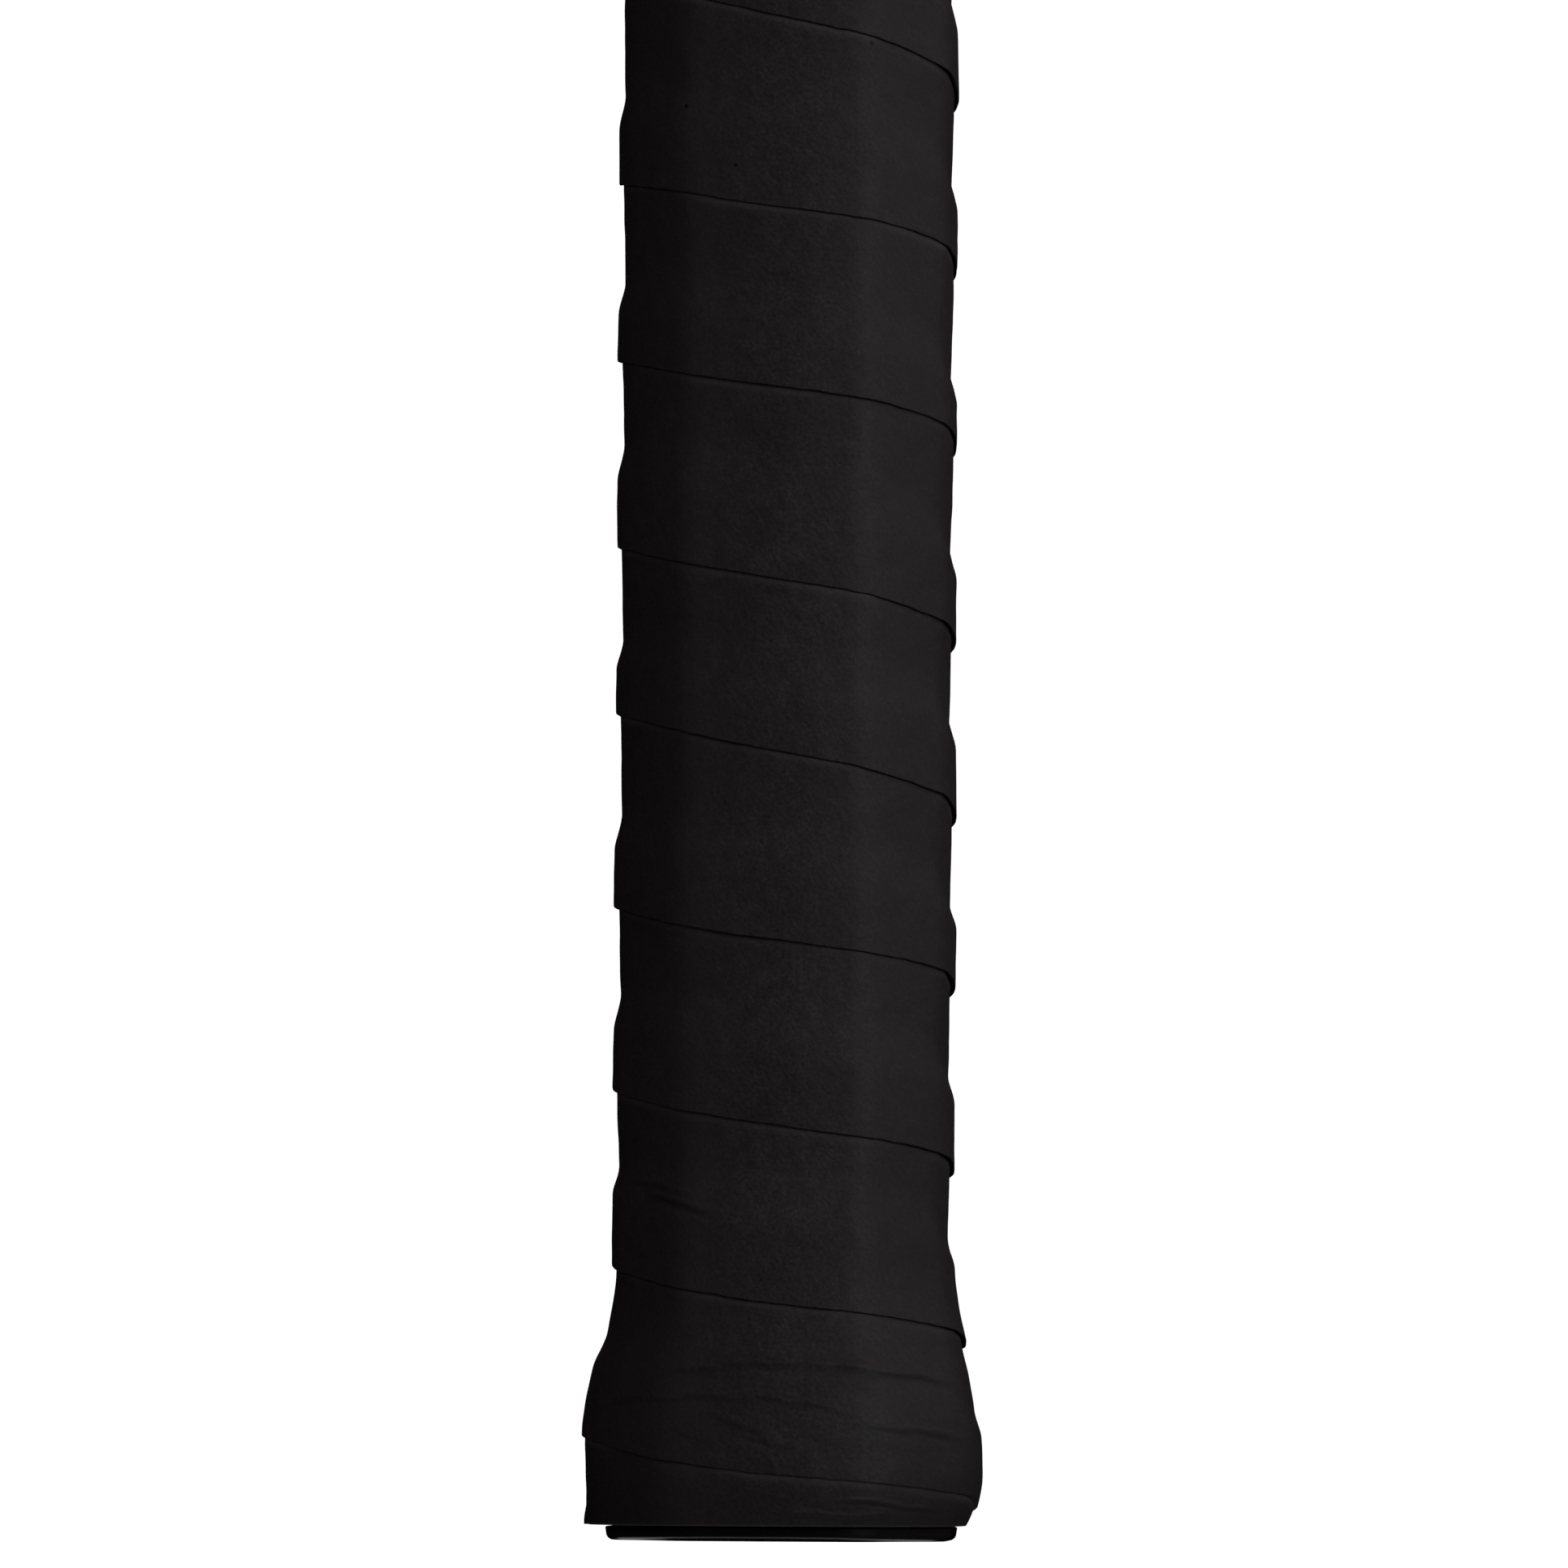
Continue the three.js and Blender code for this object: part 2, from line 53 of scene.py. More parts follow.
# ---------- sizes from the frame ----------

pallet_low, pallet_high = box_mm("pallet_front")
tape_low, tape_high = box_mm("overgrip_tape")
cap_high = box_mm("butt_cap")[1]
finish_low, finish_high = box_mm("overgrip_finish_tape")
collar_low, collar_high = box_mm("grip_collar")
door_low, door_high = box_mm("trap_door")

HALF_WIDTH = pallet_high[0]
HALF_DEPTH = -pallet_low[1]
CORNER_CUT = 6.4
CORNER_RADIUS = 2.4

# How far outside the pallets the tape starts and how thick, wide and steep it is wound.
UNDER_TAPE = 1.95
TAPE_THICKNESS = 0.6
TAPE_LAYER = UNDER_TAPE + TAPE_THICKNESS
TAPE_WIDTH = 25.4
TAPE_PITCH = 19.1
TAPE_START = 1.0
TAPE_FLOOR = tape_low[2]
TAPE_TOP = tape_high[2]
# The whole turns that the tape makes, with one to spare at each end.
TAPE_TURNS = range(-1, 13)
# Where the tape's lower edge passes the right side of the handle, as a part of a turn.
RIGHT_SIDE = 0.185
# How far the tape lies above even spacing at each half turn, as a hand laid it.
HAND_LAID = [3, 1, 1.9, 0, 0.3, -1.1, -0.4, -1.3, 0, -0.9, -0.8, 0.7, -1, -0.5, 1.2, 0.5, 1.4,
             0.8, 0.7, 3.2, 1.5, 0]
# Each turn also sags a little across the front flat: by how much, and where.
FRONT_SAG, SAG_TURN, SAG_SPREAD = 0.6, 0.53, 0.13

# The butt's flare: how far it swells, at what height, and how its foot draws in again.
FLARE_SWELL = 3.3
FLARE_FULLEST = 10.0
FLARE_TOP = cap_high[2]
FLARE_FOOT_DROP = 1.5
FLARE_FOOT_POWER = 3.2


def smooth(x):
    x = np.clip(x, 0, 1)
    return x * x * (3 - 2 * x)


def bell(x):
    return np.exp(-x * x)


# ---------- the handle's outline ----------

class Outline:
    """A rounded eight-sided outline. A place round it is a part of one turn, clockwise from
    above, from the middle of the back flat; offset is how far a layer stands outside it.
    Crown domes the widest sides by that much, and soften rounds the changes of slope."""

    def __init__(self, half_width, half_depth, cut, radius, layer, crown=0.0, soften=0.0):
        a, b, c = half_width, half_depth, cut
        corners = [(a - c, b), (a, b - c), (a, c - b), (a - c, -b),
                   (c - a, -b), (-a, c - b), (-a, b - c), (c - a, b)]
        inset = radius / math.cos(math.pi / 8)
        knots = [(0, b - radius, 0.0)]
        for i, (x, y) in enumerate(corners):
            start = i * math.pi / 4
            middle = start + math.pi / 8
            centre = (x - inset * math.sin(middle), y - inset * math.cos(middle))
            knots += [(*centre, start), (*centre, start + math.pi / 4)]
        knots.append((0, b - radius, 2 * math.pi))
        knots = np.array(knots)
        arcs = np.diff(knots[:, 2]) * (radius + layer)
        flats = np.hypot(*np.diff(knots[:, :2], axis=0).T)
        flats[np.abs(flats) < 1e-6] = 0
        self.length = float((arcs + flats).sum())
        self.layer = layer
        stops = np.concatenate([[0], np.cumsum(arcs + flats)]) / self.length
        self.corners = (stops[1:-1:2] + stops[2::2]) / 2
        self.places = np.linspace(0, 1, 4001)
        cx, cy, angle = (np.interp(self.places, stops, knots[:, k]) for k in range(3))
        reach = radius + layer + self.domes(stops, flats, crown)
        x, y = cx + reach * np.sin(angle), cy + reach * np.cos(angle)
        if soften:
            x, y = self.softened(x, soften), self.softened(y, soften)
        away = np.stack([self.slope(y), -self.slope(x)]) * -1
        away /= np.hypot(*away)
        self.fields = [x, y, *away]

    def domes(self, stops, flats, crown):
        """How far each side bulges: every side is an arc of the same large radius. The back
        side starts and ends the turn, so its two halves are taken as one."""
        total = np.zeros_like(self.places)
        back = flats[0] + flats[-1]
        sides = [(stops[-2] - 1, stops[1], back)]
        sides += [(stops[i], stops[i + 1], flats[i]) for i in range(2, len(flats) - 1, 2)]
        for low, high, flat in sides:
            for shift in (0, 1):
                across = (self.places - low - shift) / (high - low)
                dome = crown * (flat / back) ** 2 * (1 - (2 * across - 1) ** 2)
                total += np.where((across > 0) & (across < 1), dome, 0)
        return total

    def softened(self, values, spread):
        step = self.length / (len(values) - 1)
        span = int(4 * spread / step)
        weights = bell(np.arange(-span, span + 1) * step / spread)
        ring = np.concatenate([values[-span - 1:-1], values, values[1:span + 1]])
        return np.convolve(ring, weights / weights.sum(), "valid")

    def slope(self, values):
        ring = np.concatenate([values[-2:-1], values, values[1:2]])
        return ring[2:] - ring[:-2]

    def at(self, turn, offset):
        """X and Y, in millimetres, of points this far outside the outline."""
        place = np.mod(turn, 1.0)
        x, y, east, north = (np.interp(place, self.places, field) for field in self.fields)
        return x + (offset - self.layer) * east, y + (offset - self.layer) * north


HANDLE = (HALF_WIDTH, HALF_DEPTH, CORNER_CUT, CORNER_RADIUS, TAPE_LAYER)
TAPE_OUTLINE = Outline(*HANDLE, crown=0.9, soften=1.45)
PLAIN_OUTLINE = Outline(*HANDLE)
TURN_LENGTH = TAPE_OUTLINE.length


def swell(z, fuller=0.0):
    """How far the butt swells beyond the straight handle at a height. Where it is fuller, the
    foot draws in that much lower down."""
    z = np.asarray(z, float)
    along = np.clip((z - FLARE_FULLEST) / (FLARE_TOP - FLARE_FULLEST), 0, 1)
    above = FLARE_SWELL * (1 + np.cos(math.pi * along)) / 2
    down = np.clip((FLARE_FULLEST - fuller - z) / (FLARE_FULLEST - TAPE_FLOOR), 0, 1.2)
    return above - FLARE_FOOT_DROP * down ** FLARE_FOOT_POWER


# ---------- mesh helpers ----------

def add_mesh(name, points_mm, faces, material, uv=None, flat_over=None):
    mesh = bpy.data.meshes.new(name)
    mesh.from_pydata((np.asarray(points_mm) * MM).tolist(), [], faces)
    mesh.validate()
    mesh.update()
    if uv is not None:
        corner = np.zeros(len(mesh.loops), np.int32)
        mesh.loops.foreach_get("vertex_index", corner)
        layer = mesh.uv_layers.new(name="tape_plane")
        layer.data.foreach_set("uv", uv[corner].astype(np.float32).ravel())
    mesh.polygons.foreach_set("use_smooth", [True] * len(mesh.polygons))
    obj = bpy.data.objects.new(name, mesh)
    bpy.context.scene.collection.objects.link(obj)
    mesh.materials.append(material)
    if flat_over is not None:
        mesh.set_sharp_from_angle(angle=math.radians(flat_over))
    return obj


def tube_faces(rings, around, closed=False):
    """Faces between rings of points. Closed joins the last ring to the first, and otherwise
    both ends are capped."""
    faces = []
    for i in range(rings if closed else rings - 1):
        here, above = i * around, ((i + 1) % rings) * around
        for j in range(around):
            k = (j + 1) % around
            faces.append((here + j, above + j, above + k, here + k))
    if not closed:
        faces.append(tuple(range(around)))
        faces.append(tuple(range(rings * around - 1, (rings - 1) * around - 1, -1)))
    return faces


def paint(obj, name, values):
    layer = obj.data.attributes.new(name, "FLOAT", "POINT")
    layer.data.foreach_set("value", np.asarray(values, np.float32).ravel())


def face_outward(obj):
    mesh = obj.data
    mesh.calc_loop_triangles()
    co = np.array([v.co for v in mesh.vertices])
    tri = np.array([t.vertices for t in mesh.loop_triangles])
    a, b, c = co[tri[:, 0]], co[tri[:, 1]], co[tri[:, 2]]
    volume = float((a * np.cross(b, c)).sum())
    if volume < 0:
        mesh.flip_normals()
    return obj


# ---------- node materials ----------

class Recipe:
    """A material built node by node. node() returns the new node, and an input may be given
    as a value or as another node's output."""

    def __init__(self, name):
        self.material = bpy.data.materials.new(name)
        self.material.use_nodes = True
        self.tree = self.material.node_tree
        self.tree.nodes.clear()

    def node(self, kind, inputs=None, **settings):
        made = self.tree.nodes.new(kind)
        for key, value in settings.items():
            setattr(made, key, value)
        for key, value in (inputs or {}).items():
            if isinstance(value, bpy.types.NodeSocket):
                self.tree.links.new(value, made.inputs[key])
            else:
                made.inputs[key].default_value = value
        return made

    def math(self, operation, a, b=0.0, clamp=False):
        made = self.node("ShaderNodeMath", {0: a, 1: b}, operation=operation, use_clamp=clamp)
        return made.outputs[0]

    def place(self, scale=(1, 1, 1), turn=0.0, uv=False):
        """Coordinates in millimetres, in the part's own space or along the tape."""
        if uv:
            out = self.node("ShaderNodeUVMap", uv_map="tape_plane").outputs["UV"]
        else:
            out = self.node("ShaderNodeTexCoord").outputs["Object"]
        inputs = {"Vector": out, "Rotation": (0, 0, turn)}
        turned = self.node("ShaderNodeMapping", inputs)
        inputs = {"Vector": turned.outputs[0], "Scale": [s / MM for s in scale]}
        return self.node("ShaderNodeMapping", inputs).outputs[0]

    def noise(self, vector, scale, detail=2.0, roughness=0.5, distortion=0.0):
        inputs = {"Vector": vector, "Scale": scale, "Detail": detail,
                  "Roughness": roughness, "Distortion": distortion}
        return self.node("ShaderNodeTexNoise", inputs).outputs["Fac"]

    def span(self, value, low, high, to_low=0.0, to_high=1.0):
        inputs = {"Value": value, "From Min": low, "From Max": high,
                  "To Min": to_low, "To Max": to_high}
        return self.node("ShaderNodeMapRange", inputs, clamp=True).outputs[0]

    def mix(self, share, a, b):
        made = self.node("ShaderNodeMix", data_type="RGBA")
        for socket, value in ((0, share), (6, a), (7, b)):
            if isinstance(value, bpy.types.NodeSocket):
                self.tree.links.new(value, made.inputs[socket])
            else:
                made.inputs[socket].default_value = value
        return made.outputs[2]

    def bump(self, height, depth_mm, normal=None, strength=1.0):
        inputs = {"Height": height, "Distance": depth_mm * MM, "Strength": strength}
        if normal is not None:
            inputs["Normal"] = normal
        return self.node("ShaderNodeBump", inputs).outputs[0]

    def finish(self, **inputs):
        named = {key.replace("_", " "): value for key, value in inputs.items()}
        shader = self.node("ShaderNodeBsdfPrincipled", named)
        out = self.node("ShaderNodeOutputMaterial")
        self.tree.links.new(shader.outputs[0], out.inputs[0])
        return self.material


def grey(value, warm=0.0):
    return (value * (1 + warm), value, value, 1)


def tape_material():
    """Dry black polyurethane: fine speckle, scuffed patches, cloudy wear and a few pits. Each cut
    edge is darker, partly for the raw cut and partly with painted shade; painted shade also darkens
    the pits, the folds' valleys and the foot, and painted highlights lighten the glossy worn
    corners and fold tops, the lowest rim of the foot, and a line just below each turn's edge."""
    r = Recipe("black_overgrip_tape")
    tape = r.place(uv=True)
    scuffed = r.node("ShaderNodeAttribute", attribute_name="scuffed").outputs["Fac"]
    polish_and_highlight = r.node("ShaderNodeAttribute", attribute_name="polish_and_highlight").outputs["Fac"]
    specks = r.noise(tape, 2.6, 3, 0.6)
    fibres = r.noise(r.place(uv=True, turn=-0.9, scale=(0.7, 1.9, 1)), 1.1, 3, 0.6)
    patches = r.span(r.noise(tape, 0.55, 4, 0.66, 0.3), 0.40, 0.66)
    clouds = r.span(r.noise(r.place(uv=True, turn=0.5, scale=(0.7, 1, 1)), 0.075, 3, 0.55, 0.4),
                    0.32, 0.68)
    scuffs = r.math("MULTIPLY", patches, r.math("ADD", r.math("MULTIPLY", clouds, 0.8), 0.2))
    grain = r.math("ADD", r.math("MULTIPLY", specks, 0.65), r.math("MULTIPLY", fibres, 0.35))
    speckle = r.math("MULTIPLY", r.math("SUBTRACT", grain, 0.5),
                     r.math("ADD", r.math("MULTIPLY", scuffs, 2.4), 1.5))
    tone = r.math("ADD", r.math("MULTIPLY", clouds, 0.14), r.math("MULTIPLY", scuffs, 0.36))
    tone = r.math("MULTIPLY", r.math("ADD", r.math("SUBTRACT", tone, 0.20), speckle), scuffed)
    rubbed = r.span(r.noise(tape, 0.2, 4, 0.65), 0.40, 0.62)
    # Glossier worn corners and fold tops; the same mask lightens their colour as a painted
    # highlight.
    gloss_and_highlight = r.math("MULTIPLY", polish_and_highlight, r.math("ADD", r.math("MULTIPLY", rubbed, 0.8), 0.2))
    tone = r.math("ADD", r.math("ADD", tone, r.math("MULTIPLY", gloss_and_highlight, 0.045)), 0.43, clamp=True)
    colour = r.mix(tone, grey(0.010, 0.2), grey(0.046, 0.2))
    pits = r.node("ShaderNodeTexVoronoi", {"Vector": tape, "Scale": 0.11})
    pit_and_shade = r.span(pits.outputs["Distance"], 0.014, 0.03)
    # Painted shade inside the pits' dents.
    colour = r.mix(pit_and_shade, grey(0.003), colour)
    height = r.node("ShaderNodeSeparateXYZ", {"Vector": r.place()}).outputs["Z"]
    # Painted shade: darker towards the foot, below 9 mm, where the flare faces down and away from
    # the lamps.
    colour = r.mix(r.span(height, 1.0, 9.0, 0.32, 0.0), colour, grey(0.004, 0.2))
    below_lap = r.node("ShaderNodeAttribute", attribute_name="below_lap").outputs["Fac"]
    # A painted highlight: a pale glint on each turn just below the next turn's covering edge.
    drawn = r.span(below_lap, 0.05, 1.2, 0.8, 0.0)
    uneven = r.span(r.noise(tape, 0.06, 2, 0.5), 0.38, 0.62, 0.2, 1.0)
    drawn = r.math("MULTIPLY", r.math("MULTIPLY", drawn, drawn), uneven)
    drawn = r.math("MULTIPLY", drawn, r.math("GREATER_THAN", below_lap, 0.0))
    colour = r.mix(drawn, colour, grey(0.10, 0.15))
    # Painted shade in the folds' valleys.
    crease_shade = r.node("ShaderNodeAttribute", attribute_name="crease_shade").outputs["Fac"]
    colour = r.mix(crease_shade, colour, grey(0.004, 0.2))
    # The cut edges and the inner face darker: partly the raw cut, partly painted shade of the
    # crevice under each edge, broken up along it.
    cut = r.node("ShaderNodeAttribute", attribute_name="cut_edge_and_shade").outputs["Fac"]
    uneven_cut_and_shade = r.span(r.noise(tape, 0.9, 3, 0.7), 0.36, 0.56, 0.35, 1.0)
    colour = r.mix(r.math("MULTIPLY", cut, uneven_cut_and_shade), colour, grey(0.008, 0.3))
    # A painted highlight along the lowest rim of the foot.
    foot = r.node("ShaderNodeAttribute", attribute_name="foot_painted_highlight").outputs["Fac"]
    colour = r.mix(foot, colour, grey(0.05, 0.1))
    normal = r.bump(r.noise(tape, 0.30, 3, 0.5), 0.10, strength=0.8)
    normal = r.bump(r.noise(tape, 0.9, 3, 0.55), 0.07, normal=normal)
    normal = r.bump(grain, 0.05, normal=normal)
    normal = r.bump(pit_and_shade, 0.08, normal=normal)
    rough = r.math("SUBTRACT", r.span(grain, 0.3, 0.7, 0.69, 0.61), r.math("MULTIPLY", gloss_and_highlight, 0.06))
    return r.finish(Base_Color=colour, Roughness=rough, Normal=normal, IOR=1.45)


def vinyl_material():
    """Stretched electrical-style tape: low sheen with fine stretch lines along it."""
    r = Recipe("black_vinyl_tape")
    lines = r.noise(r.place(scale=(0.15, 0.15, 1.0)), 2.5, 3, 0.6)
    dust = r.noise(r.place(), 0.8, 5, 0.6)
    colour = r.mix(dust, grey(0.012), grey(0.022))
    normal = r.bump(lines, 0.05)
    rough = r.span(dust, 0.3, 0.7, 0.34, 0.5)
    return r.finish(Base_Color=colour, Roughness=rough, Normal=normal)


def rubber_material():
    """Moulded rubber: an even matt black with a faint bloom, fine dust and a stippled skin."""
    r = Recipe("moulded_black_rubber")
    bloom = r.noise(r.place(scale=(1, 1, 0.5)), 0.09, 2, 0.5)
    dust = r.noise(r.place(), 2.4, 3, 0.6)
    stipple = r.noise(r.place(), 4.0, 2, 0.5)
    tone = r.math("ADD", r.span(bloom, 0.3, 0.7, 0.0, 0.5), r.span(dust, 0.35, 0.7, 0.0, 0.5))
    colour = r.mix(tone, grey(0.014), grey(0.022))
    normal = r.bump(stipple, 0.03)
    rough = r.span(dust, 0.35, 0.7, 0.56, 0.66)
    return r.finish(Base_Color=colour, Roughness=rough, Normal=normal)


def cap_material():
    """Glossy moulded plastic with faint flow marks and fine handling scratches."""
    r = Recipe("glossy_black_plastic")
    flow = r.noise(r.place(scale=(1, 1, 0.3)), 0.25, 4, 0.55)
    scratch = r.noise(r.place(scale=(0.5, 0.5, 3)), 0.8, 3, 0.6)
    colour = r.mix(flow, grey(0.010), grey(0.018))
    normal = r.bump(flow, 0.02)
    rough = r.span(scratch, 0.4, 0.75, 0.20, 0.32)
    return r.finish(Base_Color=colour, Roughness=rough, Normal=normal, Coat_Weight=0.2)


def door_material():
    r = Recipe("textured_black_plastic")
    spark = r.noise(r.place(), 3.2, 3, 0.6)
    wear = r.noise(r.place(), 0.4, 5, 0.6)
    colour = r.mix(wear, grey(0.010), grey(0.022))
    normal = r.bump(spark, 0.05)
    rough = r.span(wear, 0.3, 0.7, 0.38, 0.55)
    return r.finish(Base_Color=colour, Roughness=rough, Normal=normal)


def badge_material():
    """Plain satin metal disc, brushed one way."""
    r = Recipe("brushed_badge")
    brush = r.noise(r.place(scale=(0.2, 6, 1)), 1.5, 3, 0.6)
    colour = r.mix(brush, grey(0.30), grey(0.46))
    normal = r.bump(brush, 0.01)
    rough = r.span(brush, 0.3, 0.7, 0.26, 0.42)
    return r.finish(Base_Color=colour, Roughness=rough, Normal=normal, Metallic=1.0)


def carbon_material():
    """Satin painted carbon laminate: a two-by-two twill just prints through the clear coat."""
    r = Recipe("carbon_laminate")
    tow_width = 1.3
    tows = [1 / tow_width] * 3
    axes = r.node("ShaderNodeSeparateXYZ", {"Vector": r.place(scale=tows)}).outputs
    around = r.math("FLOOR", r.math("ADD", axes["X"], axes["Y"]))
    step = r.math("FLOORED_MODULO", r.math("ADD", around, r.math("FLOOR", axes["Z"])), 4.0)
    lengthways = r.math("LESS_THAN", step, 2.0)
    down = r.span(r.noise(r.place(scale=(7, 7, 0.4)), 1.0, 2, 0.5), 0.3, 0.7, 0.35, 0.75)
    across = r.span(r.noise(r.place(scale=(0.4, 0.4, 7)), 1.0, 2, 0.5), 0.3, 0.7, 0.0, 0.4)
    tone = r.mix(lengthways, across, down)
    dust = r.noise(r.place(), 0.3, 5, 0.6)
    colour = r.mix(tone, grey(0.011), grey(0.036))
    normal = r.bump(tone, 0.02)
    rough = r.span(dust, 0.35, 0.7, 0.28, 0.42)
    return r.finish(Base_Color=colour, Roughness=rough, Normal=normal, Coat_Weight=0.6,
                    Coat_Roughness=0.12)


def leather_material():
    """The base grip: cushioned synthetic leather with rows of small perforations."""
    r = Recipe("perforated_base_grip")
    grain = r.noise(r.place(), 1.8, 5, 0.65)
    holes = r.node("ShaderNodeTexVoronoi", {"Vector": r.place(), "Scale": 0.3,
                                             "Randomness": 0.1})
    hole_and_shade = r.span(holes.outputs["Distance"], 0.14, 0.2)
    colour = r.mix(grain, grey(0.018), grey(0.034))
    # Painted shade inside the perforations' dents.
    colour = r.mix(hole_and_shade, grey(0.004), colour)
    normal = r.bump(hole_and_shade, 0.3, normal=r.bump(grain, 0.1))
    return r.finish(Base_Color=colour, Roughness=0.62, Normal=normal)


def foam_material(name, dark, light, cell):
    """Set foam with open cells of about the given size in millimetres."""
    r = Recipe(name)
    cells = r.node("ShaderNodeTexVoronoi", {"Vector": r.place(), "Scale": 1 / cell})
    shade = r.noise(r.place(), 0.2, 4, 0.6)
    colour = r.mix(shade, dark, light)
    normal = r.bump(cells.outputs["Distance"], 0.25)
    return r.finish(Base_Color=colour, Roughness=0.85, Normal=normal)


def steel_material():
    r = Recipe("bright_steel_wire")
    drawn = r.noise(r.place(scale=(3, 3, 3)), 1.0, 3, 0.6)
    colour = r.mix(drawn, grey(0.45), grey(0.6))
    rough = r.span(drawn, 0.3, 0.7, 0.22, 0.4)
    normal = r.bump(drawn, 0.01)
    return r.finish(Base_Color=colour, Roughness=rough, Normal=normal, Metallic=1.0)


# ---------- the wound tape ----------

RIPPLE_WAVES = 14
# Unevenness of the tape's face: height, seed, and shortest and longest wave.
SURFACE_RIPPLES = [(0.09, 14, 16, 40), (0.05, 11, 6, 16), (0.025, 12, 2.5, 6)]
# The same for a cut edge, with each seed counted on from the edge's own.
EDGE_RIPPLES = [(0.10, 0, 9, 30), (0.05, 1, 1.6, 4)]
LOWER_EDGE_SEED, FOOT_SEED, UPPER_EDGE_SEED = 3, 5, 7


def ripple(along, up, seed, shortest, longest):
    """A smooth hand-made unevenness, mostly between -1 and 1: waves at fixed random angles."""
    rng = np.random.default_rng(seed)
    total = np.zeros(np.broadcast(along, up).shape)
    for _ in range(RIPPLE_WAVES):
        length = rng.uniform(shortest, longest)
        angle = rng.uniform(0, 2 * math.pi)
        phase = rng.uniform(0, 2 * math.pi)
        wave = (along * math.cos(angle) + up * math.sin(angle)) * (2 * math.pi / length)
        total += np.sin(wave + phase)
    return total / math.sqrt(RIPPLE_WAVES / 2) / 2


def tape_edge(turn):
    """Height of the tape's lower edge: even spacing plus what the hand added."""
    half = (np.asarray(turn, float) - RIGHT_SIDE + 1) * 2
    index = np.clip(np.floor(half), 0, len(HAND_LAID) - 2).astype(int)
    laid = np.array(HAND_LAID, float)
    along = smooth(half - index)
    drift = laid[index] * (1 - along) + laid[index + 1] * along
    sag = FRONT_SAG * bell((np.mod(turn, 1.0) - SAG_TURN) / SAG_SPREAD)
    return TAPE_START + TAPE_PITCH * (turn - RIGHT_SIDE) + drift - sag


def edge_wander(turn, seed):
    """Small irregularities of a cut edge, in millimetres."""
    along = turn * TURN_LENGTH
    return sum(height * ripple(along, 0.0, seed + more, shortest, longest)
               for height, more, shortest, longest in EDGE_RIPPLES)


def lower_edge(turn):
    return tape_edge(turn) + edge_wander(turn, LOWER_EDGE_SEED)


def upper_edge(turn):
    return tape_edge(turn) + TAPE_WIDTH + edge_wander(turn, UPPER_EDGE_SEED)


# Stretch wrinkles of the flare, as seen from the front, in millimetres: X from and to,
# height at each end, sag of the middle, half-width, and height of the fold.
WRINKLES = [
    (-14, 7, 17.0, 18.2, 1.2, 0.30, 0.17),
    (3, 20, 18.9, 16.6, 0.3, 0.32, 0.19),
    (-20, 2, 14.2, 14.6, 0.8, 0.22, 0.10),
    (-4, 9, 15.6, 13.4, 0.3, 0.24, 0.11),
    (9, 21, 12.6, 11.0, 0.0, 0.32, 0.10),
    (-11, -8, 12.6, 10.9, 0.0, 0.20, 0.10),
    (-6, 0, 13.2, 11.2, 0.1, 0.22, 0.12),
    (-4, 3, 11.6, 9.8, 0.0, 0.20, 0.09),
    (1, 13, 3.3, 2.9, -0.3, 0.28, 0.12),
    (6, 18, 4.6, 3.2, 0.2, 0.22, 0.09),
    (-14, -6, 36.8, 34.6, 0.0, 0.35, 0.14),
    (-16, -8, 38.4, 36.4, 0.0, 0.30, 0.09),
]
# A fold of this height gets its painted highlight and painted shade at full strength.
FULL_FOLD = 0.30
# The valley under each fold: how far below it, in half-widths, how deep, and how dark the shade
# painted in it is.
CREASE_BELOW, CREASE_DEPTH, CREASE_SHADE_DARKNESS = 1.7, 0.6, 0.9


def wrinkles(x, y, z):
    """Height of the folds, how much painted highlight each point gets on a fold's top, and how much
    painted shade in the valley below it.
    """
    height, ridge_highlight, crease_shade = (np.zeros_like(x) for _ in range(3))
    front = smooth(-y / 4)
    for left, right, z_left, z_right, sag, half_width, fold_height in WRINKLES:
        share = np.clip((x - left) / (right - left), 0, 1)
        inside = front * smooth(share * 4) * smooth((1 - share) * 4)
        line = z_left + (z_right - z_left) * share + sag * 4 * share * (1 - share)
        line = line + 0.13 * np.sin(x * 0.9 + z_left) + 0.05 * np.sin(x * 2.3 + z_right)
        across = (z - line) / half_width
        rise, valley = inside * bell(across), inside * bell(across + CREASE_BELOW)
        height += (rise - CREASE_DEPTH * valley) * fold_height
        # Painted highlight along each fold's top and painted shade in the valley under it.
        ridge_highlight = np.maximum(ridge_highlight, rise * fold_height / FULL_FOLD)
        crease_shade = np.maximum(crease_shade, valley * fold_height / FULL_FOLD)
    return height, ridge_highlight, CREASE_SHADE_DARKNESS * crease_shade


# Where a turn climbs over the one below it: how far it rises and how long its foot is, at the
# narrow sides and on the flats, where the foot begins, measured from the covered edge, and how
# far round a narrow side reaches, in parts of a turn.
LAP_RISE, LAP_RISE_ON_FLAT = 0.72, 0.62
LAP_FOOT, LAP_FOOT_ON_FLAT = 2.9, 7.0
LAP_START = -0.2
LAP_SPREAD = 0.07
# The share of that rise which the flare's stretch takes away.
LAP_RISE_LOST_TO_STRETCH = 0.30
# The covered part gives this much, from so far above the covering edge and over so long.
PRESSED_UNDER_LAP, PRESSED_FROM, PRESSED_OVER = 0.35, 0.3, 1.2
# Above its foot a turn leans out again, by so much over so long.
LEAN, LEAN_LENGTH = 0.25, 10
# How much lower the flare's foot draws in at the left side than at the right.
FULLER_LEFT = 3.5
# The rise over the finishing tape of the base grip, which lies under the overgrip's top.
FINISH_START = finish_low[2] - 1.5
FINISH_RISE = 0.3


def near_sides(place, spread):
    """1 in the middle of the right and left sides, and less the further round from them."""
    return bell((place - 0.25) / spread) + bell((place - 0.75) / spread)


